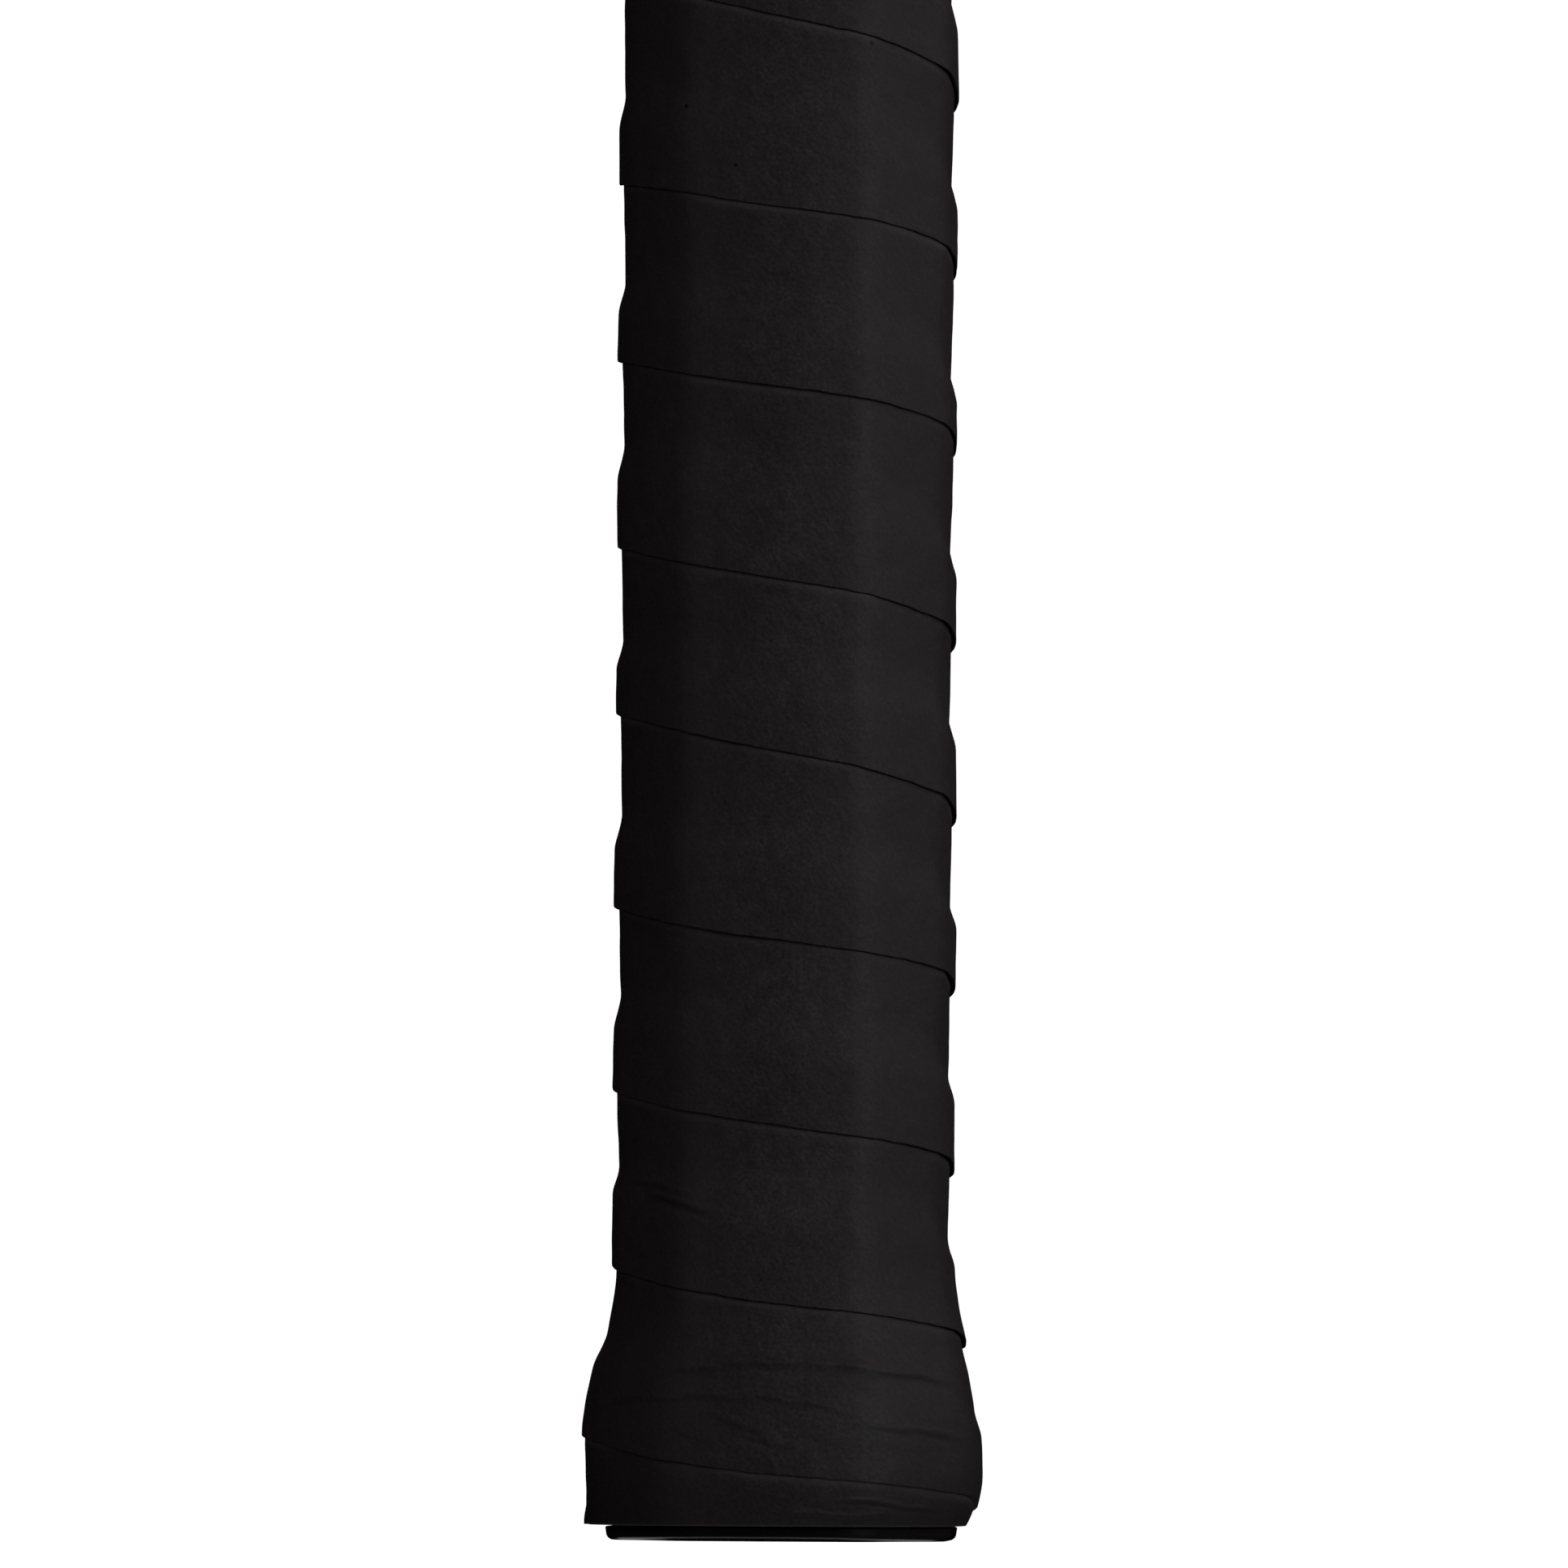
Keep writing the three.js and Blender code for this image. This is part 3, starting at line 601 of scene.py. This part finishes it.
def tape_surface(turn, z):
    """How far outside the outline the tape's outer face lies, for one of its turns. Over the
    edge of the turn below it rises, gently on the broad flats. On the flare it is stretched
    thin, and the flare is fuller at the left."""
    along = turn * TURN_LENGTH
    place = np.mod(turn, 1.0)
    flared = swell(z, FULLER_LEFT * (1 - np.sin(2 * math.pi * place)) / 2)
    at_side = near_sides(place, LAP_SPREAD)
    ramp = LAP_FOOT_ON_FLAT + (LAP_FOOT - LAP_FOOT_ON_FLAT) * at_side
    above_lap = z - upper_edge(turn - 1) - LAP_START
    rise = LAP_RISE_ON_FLAT + (LAP_RISE - LAP_RISE_ON_FLAT) * np.clip(at_side, 0, 1)
    rise = rise * (1 - smooth(above_lap / ramp))
    rise = rise * (1 - LAP_RISE_LOST_TO_STRETCH * np.clip(flared / FLARE_SWELL, 0, 1))
    rise = np.where(upper_edge(turn - 1) > TAPE_FLOOR, rise, 0)
    rise = rise + LEAN * np.clip((above_lap - ramp) / LEAN_LENGTH, 0, 1)
    finish = FINISH_RISE * smooth(z - FINISH_START)
    soft = sum(height * ripple(along, z, seed, shortest, longest)
               for height, seed, shortest, longest in SURFACE_RIPPLES)
    return flared + UNDER_TAPE + TAPE_THICKNESS + rise + finish + soft


# Where the hand wears the tape, in parts of a turn: a little off the front flat's middle, the back
# flat's middle, the narrow sides, and on each corner, which also gets a painted highlight.
FRONT_WEAR, FRONT_WEAR_SPREAD = 0.49, 0.065
BACK_WEAR_SPREAD, SIDE_WEAR_SPREAD, CORNER_POLISH_AND_HIGHLIGHT_SPREAD = 0.08, 0.05, 0.018
# How much more a fold's ridge is made glossy and given painted highlight than the tape round it.
RIDGE_POLISH_AND_HIGHLIGHT = 1.4


def hand_wear(place):
    """How scuffed by handling the tape is round the handle, and how glossy its worn corners are,
    with a painted highlight on them that is strongest at the right, where the key light falls."""
    front = bell((place - FRONT_WEAR) / FRONT_WEAR_SPREAD)
    broad = front + bell(place / BACK_WEAR_SPREAD) + bell((1 - place) / BACK_WEAR_SPREAD)
    sides = near_sides(place, SIDE_WEAR_SPREAD)
    corners = TAPE_OUTLINE.corners
    corner_polish_and_highlight = sum(bell((place - corner) / CORNER_POLISH_AND_HIGHLIGHT_SPREAD) for corner in corners)
    # Painted highlight: the corners are lit most at the right, where the key light falls.
    corner_polish_and_highlight = corner_polish_and_highlight * (0.65 + 0.35 * np.sin(2 * math.pi * place))
    return 0.3 + 0.7 * np.clip(broad + 0.4 * sides, 0, 1), corner_polish_and_highlight


# The ribbon's mesh: the step between columns along it, and its rows as millimetres up from the
# lower edge, down from the upper edge, and shares of the width on the inside.
COLUMN_STEP = 0.6
LOWER_ROWS = [0.0, 0.03, 0.07, 0.16, 0.45]
FIELD_ROWS = np.linspace(0.8, TAPE_WIDTH - 0.5, 84)
UPPER_ROWS = np.array([0.2, 0.0])
INNER_ROWS = np.array([1.0, 0.75, 0.5, 0.3, 0.22, 0.1, 0.03, 0.004])
# How the cut edges are rounded and how dark they show, partly for the raw cut and partly as painted
# shade of the crevice under them, for the rows nearest them.
LOWER_SUNK, UPPER_SUNK = [0.10, 0.03, 0.0], [0.05, 0.25]
LOWER_CUT_AND_SHADE = [0.7, 0.2, 0.0]
# The ribbon starts and ends where it would be narrower than this.
NARROWEST_END = 0.6
# Its level foot wanders by this share of what a cut edge does, and gets a painted highlight up to
# this height.
FOOT_WANDER, FOOT_HIGHLIGHT_HEIGHT = 0.05, 0.15


def ribbon_columns():
    """Where the ribbon has columns of points, in turns."""
    per_turn = int(TURN_LENGTH / COLUMN_STEP)
    first = RIGHT_SIDE + (TAPE_FLOOR + 1.0 - TAPE_WIDTH - TAPE_START) / TAPE_PITCH
    last = RIGHT_SIDE + (TAPE_TOP - 1.0 - TAPE_START) / TAPE_PITCH
    turns = np.arange(int(first * per_turn), int(last * per_turn)) / per_turn
    turns = turns[tape_edge(turns) + TAPE_WIDTH > TAPE_FLOOR + NARROWEST_END]
    turns = turns[tape_edge(turns) < TAPE_TOP - NARROWEST_END]
    return turns[:, None]


def ribbon_rows():
    """The outer face's rows as shares of the width, and how far each is sunk at the edges."""
    rows = np.concatenate([LOWER_ROWS, FIELD_ROWS, TAPE_WIDTH - UPPER_ROWS]) / TAPE_WIDTH
    sunk = np.zeros(len(rows))
    sunk[:3], sunk[-2:] = LOWER_SUNK, UPPER_SUNK
    return rows, sunk


def paint_wear(obj, t, z, ridge_highlights, crease_shades):
    """The wear, edges, painted highlights and painted shade that the tape's material draws, point
    by point. The folds' painted highlights and shade cover the outer face's rows, which come first."""
    outer = ridge_highlights.shape[1]
    columns = np.arange(z.shape[1])
    at_foot = (z < TAPE_FLOOR + FOOT_HIGHLIGHT_HEIGHT) & (columns < outer)
    # Raw cut and painted shade along the lower edge and on the inner face.
    cut = np.zeros(z.shape[1])
    cut[:3] = LOWER_CUT_AND_SHADE
    cut[outer:] = 1.0
    scuffed, polish_and_highlight = hand_wear(np.mod(t, 1.0) + 0 * z)
    # Fold tops add to the painted highlight and the gloss.
    polish_and_highlight[:, :outer] += RIDGE_POLISH_AND_HIGHLIGHT * ridge_highlights
    crease_shade = np.zeros(z.shape)
    crease_shade[:, :outer] = crease_shades
    paint(obj, "scuffed", scuffed)
    paint(obj, "polish_and_highlight", np.minimum(polish_and_highlight, 1.0))
    paint(obj, "cut_edge_and_shade", np.where(at_foot, 0.0, cut))
    paint(obj, "foot_painted_highlight", at_foot)
    paint(obj, "crease_shade", crease_shade)
    paint(obj, "below_lap", lower_edge(t + 1) - z)


def wound_overgrip():
    """The overgrip as one ribbon: rows run across it, columns along it. The next turn presses
    down the part that it covers."""
    t = ribbon_columns()
    rows, sunk = ribbon_rows()
    low = np.maximum(TAPE_FLOOR + FOOT_WANDER * edge_wander(t, FOOT_SEED), lower_edge(t))
    high = np.minimum(TAPE_TOP, upper_edge(t))
    z_outer = low + (high - low) * rows
    x, y = TAPE_OUTLINE.at(t + 0 * z_outer, tape_surface(t, z_outer))
    folds, ridge_highlights, crease_shades = wrinkles(x, y, z_outer)
    covered = smooth((z_outer - lower_edge(t + 1) - PRESSED_FROM) / PRESSED_OVER)
    outer_offset = tape_surface(t, z_outer) - sunk + folds - PRESSED_UNDER_LAP * covered
    z_inner = low + (high - low) * INNER_ROWS
    inner_offset = tape_surface(t, z_inner) - TAPE_THICKNESS
    z = np.concatenate([z_outer, z_inner], axis=1)
    offset = np.concatenate([outer_offset, inner_offset], axis=1)
    x, y = TAPE_OUTLINE.at(t + 0 * z, offset)
    points = np.stack([x, y, z], axis=-1).reshape(-1, 3)

    along = np.broadcast_to(t * TURN_LENGTH, z.shape)
    uv = np.stack([along, z - tape_edge(t)], axis=-1).reshape(-1, 2) * MM
    faces = tube_faces(*z.shape)
    obj = add_mesh("wound_overgrip", points, faces, MATERIALS["tape"], uv=uv)
    paint_wear(obj, t, z, ridge_highlights, crease_shades)
    face_outward(obj)
    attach(obj, "handle")
    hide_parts("overgrip_tape")
    return obj


def top_surface(place, z):
    """Offset of whichever turn of the tape is outermost at a place round the handle."""
    found = np.zeros(np.broadcast(place, z).shape) + UNDER_TAPE
    for whole in TAPE_TURNS:
        turn = place + whole
        covers = (tape_edge(turn) <= z) & (z <= tape_edge(turn) + TAPE_WIDTH)
        found = np.where(covers, tape_surface(turn, z), found)
    return found


# The finishing tape's two wraps, and the step where the second ends as it climbs round.
VINYL_FIRST_WRAP, VINYL_SECOND_WRAP = 0.20, 0.12
VINYL_STEP_HEIGHT, VINYL_STEP_CLIMB, VINYL_STEP_SPREAD = 6.2, 1.5, 0.3
# How far its edges slant, and how far they are rounded off and over how long.
VINYL_SLANT = 0.15
VINYL_EDGE_DROP, VINYL_EDGE_LENGTH = 0.1, 0.12
VINYL_ROWS, AROUND_BAND = 22, 240


def vinyl_finish_tape():
    """The finishing tape, wound twice over the overgrip's top edge and stretched to it. The
    second wrap climbs, so its end shows as a step."""
    place = (np.arange(AROUND_BAND) / AROUND_BAND)[None, :]
    low, high = finish_low[2], finish_high[2]
    slant = VINYL_SLANT * np.sin(2 * math.pi * place)
    z_out = np.linspace(0, 1, VINYL_ROWS)[:, None] * (high - low) + low + slant
    seat = top_surface(place, np.minimum(z_out, TAPE_TOP - 0.1))
    for _ in range(3):
        seat = np.maximum(seat, (np.roll(seat, 1, 1) + np.roll(seat, -1, 1)) / 2)
    past_step = z_out - low - VINYL_STEP_HEIGHT - VINYL_STEP_CLIMB * place
    second = VINYL_SECOND_WRAP * (1 - smooth(past_step / VINYL_STEP_SPREAD))
    outer = seat + VINYL_FIRST_WRAP + second
    lip = np.minimum(z_out[:, 0] - low, high - z_out[:, 0])[:, None]
    outer = outer - VINYL_EDGE_DROP * bell(lip / VINYL_EDGE_LENGTH)
    z_in = z_out[::-1]
    offset = np.concatenate([outer, seat[::-1] + 0.04])
    z = np.concatenate([z_out, z_in])
    x, y = TAPE_OUTLINE.at(place + 0 * z, offset)
    points = np.stack([x, y, z], axis=-1).reshape(-1, 3)
    faces = tube_faces(len(z), AROUND_BAND, closed=True)
    obj = add_mesh("vinyl_finish_tape", points, faces, MATERIALS["vinyl"])
    face_outward(obj)
    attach(obj, "handle")
    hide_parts("overgrip_finish_tape")
    return obj


# ---------- collar, tubes and butt cap ----------

def loop_piece(name, rings, material, flat_over=35):
    """A closed shell from rings of points that run up its outside and down its inside."""
    points = np.concatenate(rings)
    faces = tube_faces(len(rings), len(rings[0]), closed=True)
    return face_outward(add_mesh(name, points, faces, material, flat_over=flat_over))


# The collar: its wall, where its skirt ends and its neck begins, its ribs, its grip on the shaft.
COLLAR_WALL = 1.4
COLLAR_SKIRT = 9.0
COLLAR_NECK = 5.0
COLLAR_RIBS = (3.2, 5.2, 7.2)
RIB_DEPTH, RIB_HALF_WIDTH = 0.35, 0.42
NECK_OUTSIDE, NECK_INSIDE = 1.9, 0.4
SHAFT_CUT, SHAFT_RADIUS = 3.0, 2.5
# Its two ends are rounded off over this height, by so much at the skirt and at the neck.
COLLAR_ROUNDED = 0.8
SKIRT_ROUNDING, NECK_ROUNDING = 0.45, 0.5


def rubber_collar():
    """Ribbed rubber collar: a skirt over the tape's top that draws in to grip the shaft."""
    place = np.arange(AROUND_BAND) / AROUND_BAND
    tube_high = box_mm("shaft_tube_right")[1]
    shaft = Outline(tube_high[0], tube_high[1], SHAFT_CUT, SHAFT_RADIUS, NECK_OUTSIDE)
    low, high = collar_low[2], collar_high[2]
    skirt_outer = collar_high[0] - HALF_WIDTH
    skirt_inner = skirt_outer - COLLAR_WALL
    shoulder, neck = low + COLLAR_SKIRT, high - COLLAR_NECK

    def ring(z, skirt_offset, neck_offset):
        x0, y0 = PLAIN_OUTLINE.at(place, skirt_offset)
        x1, y1 = shaft.at(place, neck_offset)
        share = smooth((z - shoulder) / (neck - shoulder))
        x, y = x0 + (x1 - x0) * share, y0 + (y1 - y0) * share
        return np.stack([x, y, np.full(AROUND_BAND, z)], axis=-1)

    def rib(z):
        return sum(RIB_DEPTH * bell((z - low - at) / RIB_HALF_WIDTH) for at in COLLAR_RIBS)

    skirt_end = np.linspace(low, low + COLLAR_ROUNDED, 5)
    wall = np.linspace(low + 1, high - COLLAR_ROUNDED, 64)
    neck_end = np.linspace(high - 0.6, high, 4)
    outer = []
    for z in np.concatenate([skirt_end, wall, neck_end]):
        rounding = SKIRT_ROUNDING * smooth(1 - (z - low) / COLLAR_ROUNDED) ** 2
        rounding += NECK_ROUNDING * smooth(1 - (high - z) / COLLAR_ROUNDED) ** 2
        outer.append(ring(z, skirt_outer - rib(z) - rounding, NECK_OUTSIDE - rounding))
    inner = [ring(z, skirt_inner, NECK_INSIDE) for z in np.linspace(high, low, 24)]
    obj = loop_piece("rubber_collar", outer + inner, MATERIALS["rubber"])
    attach(obj, "collar")
    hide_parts("grip_collar")
    return obj


TUBE_OUTER_RADIUS, TUBE_INNER_RADIUS = 5.5, 1.6
TUBE_WALL = 1.2
TUBE_CUT_EDGE = 0.25


def tube_ring(z, inset, low, high):
    """One ring of a hairpin tube's wall: flat towards the middle, rounded outside."""
    left, right = low[0] + inset, high[0] - inset
    half = high[1] - inset
    big, small = TUBE_OUTER_RADIUS - inset, max(TUBE_INNER_RADIUS - inset, 0.3)
    corners = [(right - big, half - big, big, 0), (left + small, half - small, small, 1),
               (left + small, small - half, small, 2), (right - big, big - half, big, 3)]
    points = []
    for cx, cy, radius, quarter in corners:
        for angle in np.linspace(quarter, quarter + 1, 15) * math.pi / 2:
            points.append((cx + radius * math.cos(angle), cy + radius * math.sin(angle), z))
    return np.array(points)


def carbon_tube(side):
    """One hairpin tube with its cut top end broken slightly at the edges."""
    low, high = box_mm("shaft_tube_right")
    foot, top, edge = low[2], high[2], TUBE_CUT_EDGE
    inner_edge = 0.6 * edge
    rings = [tube_ring(z, 0, low, high) for z in np.linspace(foot, top - edge, 40)]
    rings += [tube_ring(top, edge, low, high), tube_ring(top, TUBE_WALL - inner_edge, low, high)]
    rings += [tube_ring(z, TUBE_WALL, low, high) for z in (top - inner_edge, top - 20, foot)]
    if side == "left":
        rings = [ring * [-1, -1, 1] for ring in rings]
    obj = loop_piece(f"carbon_tube_{side}", rings, MATERIALS["carbon"])
    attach(obj, "handle")
    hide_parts(f"shaft_tube_{side}")
    return obj


# The cap's lip: how far it stands out, its rounding, and the seat above it that the tape
# comes down to. Then the cap's inside: the rebate for the pallets, its end wall, the opening.
LIP_REACH, LIP_ROUNDING, LIP_SETBACK = 3.75, 0.8, 0.08
LIP_SEAT, LIP_SEAT_REACH = 1.5, 3.35
CAP_END_REACH = 2.65
CAP_REBATE = 1.5
CAP_END_WALL = 3.0
OPENING_HALF_LENGTH, OPENING_HALF_WIDTH, OPENING_EDGE = 10.0, 6.5, 0.25
AROUND_CAP = 360


def moulded_butt_cap():
    """The butt cap: flared skirt, rounded glossy lip, and the door's opening in its end."""
    place = np.arange(AROUND_CAP) / AROUND_CAP
    skirt_top = cap_high[2]

    def ring(z, offset):
        x, y = PLAIN_OUTLINE.at(place, offset)
        return np.stack([x, y, np.full(AROUND_CAP, z)], axis=-1)

    def opening(z, grow=0.0):
        x, y = PLAIN_OUTLINE.at(place, 0)
        half_length = OPENING_HALF_LENGTH + grow
        half_width = OPENING_HALF_WIDTH + grow
        reach = np.minimum(half_length / np.abs(x).clip(1e-6), half_width / np.abs(y).clip(1e-6))
        return np.stack([x * reach, y * reach, np.full(AROUND_CAP, z)], axis=-1)

    rings = [ring(z, swell(z)) for z in np.linspace(skirt_top, LIP_SEAT + 0.1, 24)]
    rings += [ring(LIP_SEAT, LIP_SEAT_REACH), ring(LIP_SEAT - 0.05, LIP_REACH - 0.1)]
    rings += [ring(LIP_SEAT - 0.15, LIP_REACH), ring(LIP_SEAT - 0.4, LIP_REACH - 0.03)]
    below = LIP_REACH - LIP_SETBACK
    rings.append(ring(LIP_ROUNDING, below))
    for angle in np.linspace(0.12, 0.95, 8) * math.pi / 2:
        drop, inward = 1 - math.sin(angle), 1 - math.cos(angle)
        rings.append(ring(LIP_ROUNDING * drop, below - LIP_ROUNDING * inward))
    rings += [ring(0, CAP_END_REACH), opening(0, OPENING_EDGE), opening(OPENING_EDGE)]
    rings += [opening(CAP_END_WALL), ring(CAP_END_WALL, -CAP_REBATE)]
    rings.append(ring(skirt_top, -CAP_REBATE))
    obj = loop_piece("moulded_butt_cap", rings, MATERIALS["cap"])
    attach(obj, "handle")
    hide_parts("butt_cap")
    return obj


# ---------- the frame's own parts ----------

def dress_frame_nodes():
    """Materials and softened edges for the CAD nodes that stay as they are."""
    foam = foam_material("cream_pallet_foam", (0.42, 0.36, 0.24, 1), (0.56, 0.49, 0.34, 1), 0.7)
    plug = foam_material("white_plug_foam", (0.62, 0.61, 0.57, 1), (0.78, 0.77, 0.74, 1), 0.4)
    steel = steel_material()
    dressed = {
        "tube_plug_right": plug, "tube_plug_left": plug, "hairpin_spacer": foam,
        "pallet_front": foam, "pallet_back": foam, "base_grip": leather_material(),
        "base_grip_tack": steel, "base_grip_finish_tape": MATERIALS["vinyl"],
        "cap_staple_back": steel, "cap_staple_right": steel, "cap_staple_front": steel,
        "cap_staple_left": steel, "trap_door": door_material(), "door_badge": badge_material(),
    }
    for name, material in dressed.items():
        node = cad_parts[name]
        node.data.materials.clear()
        node.data.materials.append(material)
    for name, width in (("trap_door", 0.15), ("door_badge", 0.1)):
        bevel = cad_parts[name].modifiers.new("soft_edges", "BEVEL")
        bevel.width = width * MM
        bevel.segments = 2
        bevel.angle_limit = math.radians(40)


# ---------- stage, light and camera ----------

# How bright the surroundings show to the camera, and how little they light the object.
SEEN_WHITE, STUDIO_GLOW = 1.05, 0.002


def studio():
    """Pure white surroundings for the camera, and a dimmer studio for the light itself."""
    scene = bpy.context.scene
    world = bpy.data.worlds.new("studio")
    world.use_nodes = True
    nodes, links = world.node_tree.nodes, world.node_tree.links
    nodes.clear()
    path = nodes.new("ShaderNodeLightPath")
    seen = nodes.new("ShaderNodeBackground")
    seen.inputs["Color"].default_value = (1, 1, 1, 1)
    seen.inputs["Strength"].default_value = SEEN_WHITE
    lit = nodes.new("ShaderNodeBackground")
    lit.inputs["Color"].default_value = (1, 1, 1, 1)
    lit.inputs["Strength"].default_value = STUDIO_GLOW
    choose = nodes.new("ShaderNodeMixShader")
    out = nodes.new("ShaderNodeOutputWorld")
    links.new(path.outputs["Is Camera Ray"], choose.inputs[0])
    links.new(lit.outputs[0], choose.inputs[1])
    links.new(seen.outputs[0], choose.inputs[2])
    links.new(choose.outputs[0], out.inputs[0])
    scene.world = world


FLOOR_HALF = 4000.0
FLOOR_CLEARANCE = 1.0
# The floor's glow grows from the near value to full white between these distances, in metres.
NEAR_FLOOR, FAR_FLOOR = 0.1, 0.5
NEAR_GLOW = 0.9
# The ring on the floor that glows for reflections only, painting a thin highlight along the cap's
# rim: its middle in millimetres, and in metres where it starts, is full, begins to fade and ends.
RIM_GLOW_MIDDLE = (-3.0, -1.0)
RIM_GLOW_RING = (0.0195, 0.0215, 0.0255, 0.028)
RIM_GLOW_STRENGTH = 0.7


def floor():
    """A pale floor just below the open door's reach. It shows as near white, and a little greyer
    near the handle; a ring of it glows for reflections only, painting a highlight along the cap's
    rim."""
    reach = door_high[1] - door_low[1] + FLOOR_CLEARANCE
    half = FLOOR_HALF
    corners = [(-half, -half, -reach), (half, -half, -reach),
               (half, half, -reach), (-half, half, -reach)]
    r = Recipe("pale_floor")
    light_path = r.node("ShaderNodeLightPath")
    matt = r.node("ShaderNodeBsdfDiffuse", {"Color": grey(0.2)})
    place = r.node("ShaderNodeTexCoord").outputs["Object"]
    away = r.node("ShaderNodeVectorMath", {0: place}, operation="LENGTH").outputs["Value"]
    strength = r.span(away, NEAR_FLOOR, FAR_FLOOR, NEAR_GLOW, SEEN_WHITE)
    glow = r.node("ShaderNodeEmission", {"Color": grey(1.0), "Strength": strength})
    both = r.node("ShaderNodeAddShader", {0: matt.outputs[0], 1: glow.outputs[0]})
    middle = Vector((*RIM_GLOW_MIDDLE, -reach)) * MM
    from_middle = r.node("ShaderNodeVectorMath", {0: place, 1: middle},
                         operation="DISTANCE").outputs["Value"]
    start, full, fading, end = RIM_GLOW_RING
    # Painted highlight: this glow is seen only by glossy rays, as a line along the cap's rim.
    rim_glow = r.math("MULTIPLY", r.span(from_middle, start, full),
                   r.span(from_middle, fading, end, RIM_GLOW_STRENGTH, 0.0))
    gloss = r.node("ShaderNodeEmission", {"Color": grey(1.0), "Strength": rim_glow})
    mirrored = r.node("ShaderNodeMixShader", {0: light_path.outputs["Is Glossy Ray"],
                                              1: matt.outputs[0], 2: gloss.outputs[0]})
    seen = light_path.outputs["Is Camera Ray"]
    shown = r.node("ShaderNodeMixShader", {0: seen, 1: mirrored.outputs[0], 2: both.outputs[0]})
    out = r.node("ShaderNodeOutputMaterial")
    r.tree.links.new(shown.outputs[0], out.inputs[0])
    obj = add_mesh("studio_floor", corners, [(0, 1, 2, 3)], r.material)


LIGHTS_AIM = 0.08


def softbox(name, azimuth, height, distance, width, tall, watts, glossy=True, warm=0.0):
    """An area light aimed at the handle. Azimuth 0 is in front of it and 90 is to its right. A
    light that isn't glossy fills in shade without being mirrored."""
    data = bpy.data.lights.new(name, "AREA")
    data.shape = "RECTANGLE"
    data.size, data.size_y = width, tall
    data.energy = watts
    data.color = (1.0, 1.0 - warm, 1.0 - warm)
    light = bpy.data.objects.new(name, data)
    a = math.radians(azimuth)
    light.location = (distance * math.sin(a), -distance * math.cos(a), height)
    towards = Vector((0, 0, LIGHTS_AIM)) - light.location
    light.rotation_euler = towards.to_track_quat("-Z", "Y").to_euler()
    light.visible_camera = False
    light.visible_glossy = glossy
    bpy.context.scene.collection.objects.link(light)


def lights():
    softbox("key_right", azimuth=44, height=0.22, distance=1.0, width=0.6, tall=0.5, watts=2.0)
    softbox("high_front", azimuth=16, height=0.58, distance=0.87, width=0.3, tall=0.5, watts=0.42)
    softbox("edge_right", azimuth=100, height=0.58, distance=0.87, width=0.3, tall=0.5, watts=0.75)
    softbox("shade_left", azimuth=-50, height=0.50, distance=0.91, width=0.3, tall=0.5,
            watts=0.78, glossy=False, warm=0.04)
    softbox("shade_right", azimuth=100, height=0.50, distance=0.91, width=0.3, tall=0.5,
            watts=0.58, glossy=False)
    softbox("back", azimuth=192, height=0.50, distance=1.0, width=0.6, tall=0.6, watts=8.0,
            glossy=False)
    softbox("overhead", azimuth=0, height=1.5, distance=0.01, width=1.0, tall=1.0, watts=0.5,
            glossy=False)


# The camera's place and aim, in metres from the middle of the butt.
CAMERA_AZIMUTH, CAMERA_ROLL = math.radians(4.5), math.radians(0.3)
CAMERA_DISTANCE, CAMERA_HEIGHT = 0.835, 0.010
CAMERA_AIM_HEIGHT, CAMERA_AIM_LEFT = 0.0809, 0.0002
SENSOR_WIDTH, FOCAL_LENGTH = 36.0, 179.0


def camera():
    """Almost level with the butt, a little round to the handle's right, looking up at it."""
    cam = bpy.data.objects.new("camera", bpy.data.cameras.new("camera"))
    forward = Vector((-math.sin(CAMERA_AZIMUTH), math.cos(CAMERA_AZIMUTH), 0))
    right = Vector((math.cos(CAMERA_AZIMUTH), math.sin(CAMERA_AZIMUTH), 0))
    shift = right * CAMERA_AIM_LEFT
    cam.location = -forward * CAMERA_DISTANCE + Vector((0, 0, CAMERA_HEIGHT)) - shift
    target = Vector((0, 0, CAMERA_AIM_HEIGHT)) - shift
    cam.rotation_euler = (target - cam.location).to_track_quat("-Z", "Y").to_euler()
    cam.rotation_euler.rotate_axis("Z", CAMERA_ROLL)
    cam.data.sensor_width = SENSOR_WIDTH
    cam.data.lens = FOCAL_LENGTH
    cam.data.clip_start, cam.data.clip_end = 0.05, 50
    bpy.context.scene.collection.objects.link(cam)
    bpy.context.scene.camera = cam


# ---------- build ----------

MATERIALS = {
    "tape": tape_material(),
    "vinyl": vinyl_material(),
    "rubber": rubber_material(),
    "cap": cap_material(),
    "carbon": carbon_material(),
}
wound_overgrip()
vinyl_finish_tape()
rubber_collar()
carbon_tube("right")
carbon_tube("left")
moulded_butt_cap()
dress_frame_nodes()
studio()
floor()
lights()
camera()
bpy.context.scene.view_settings.view_transform = "Standard"
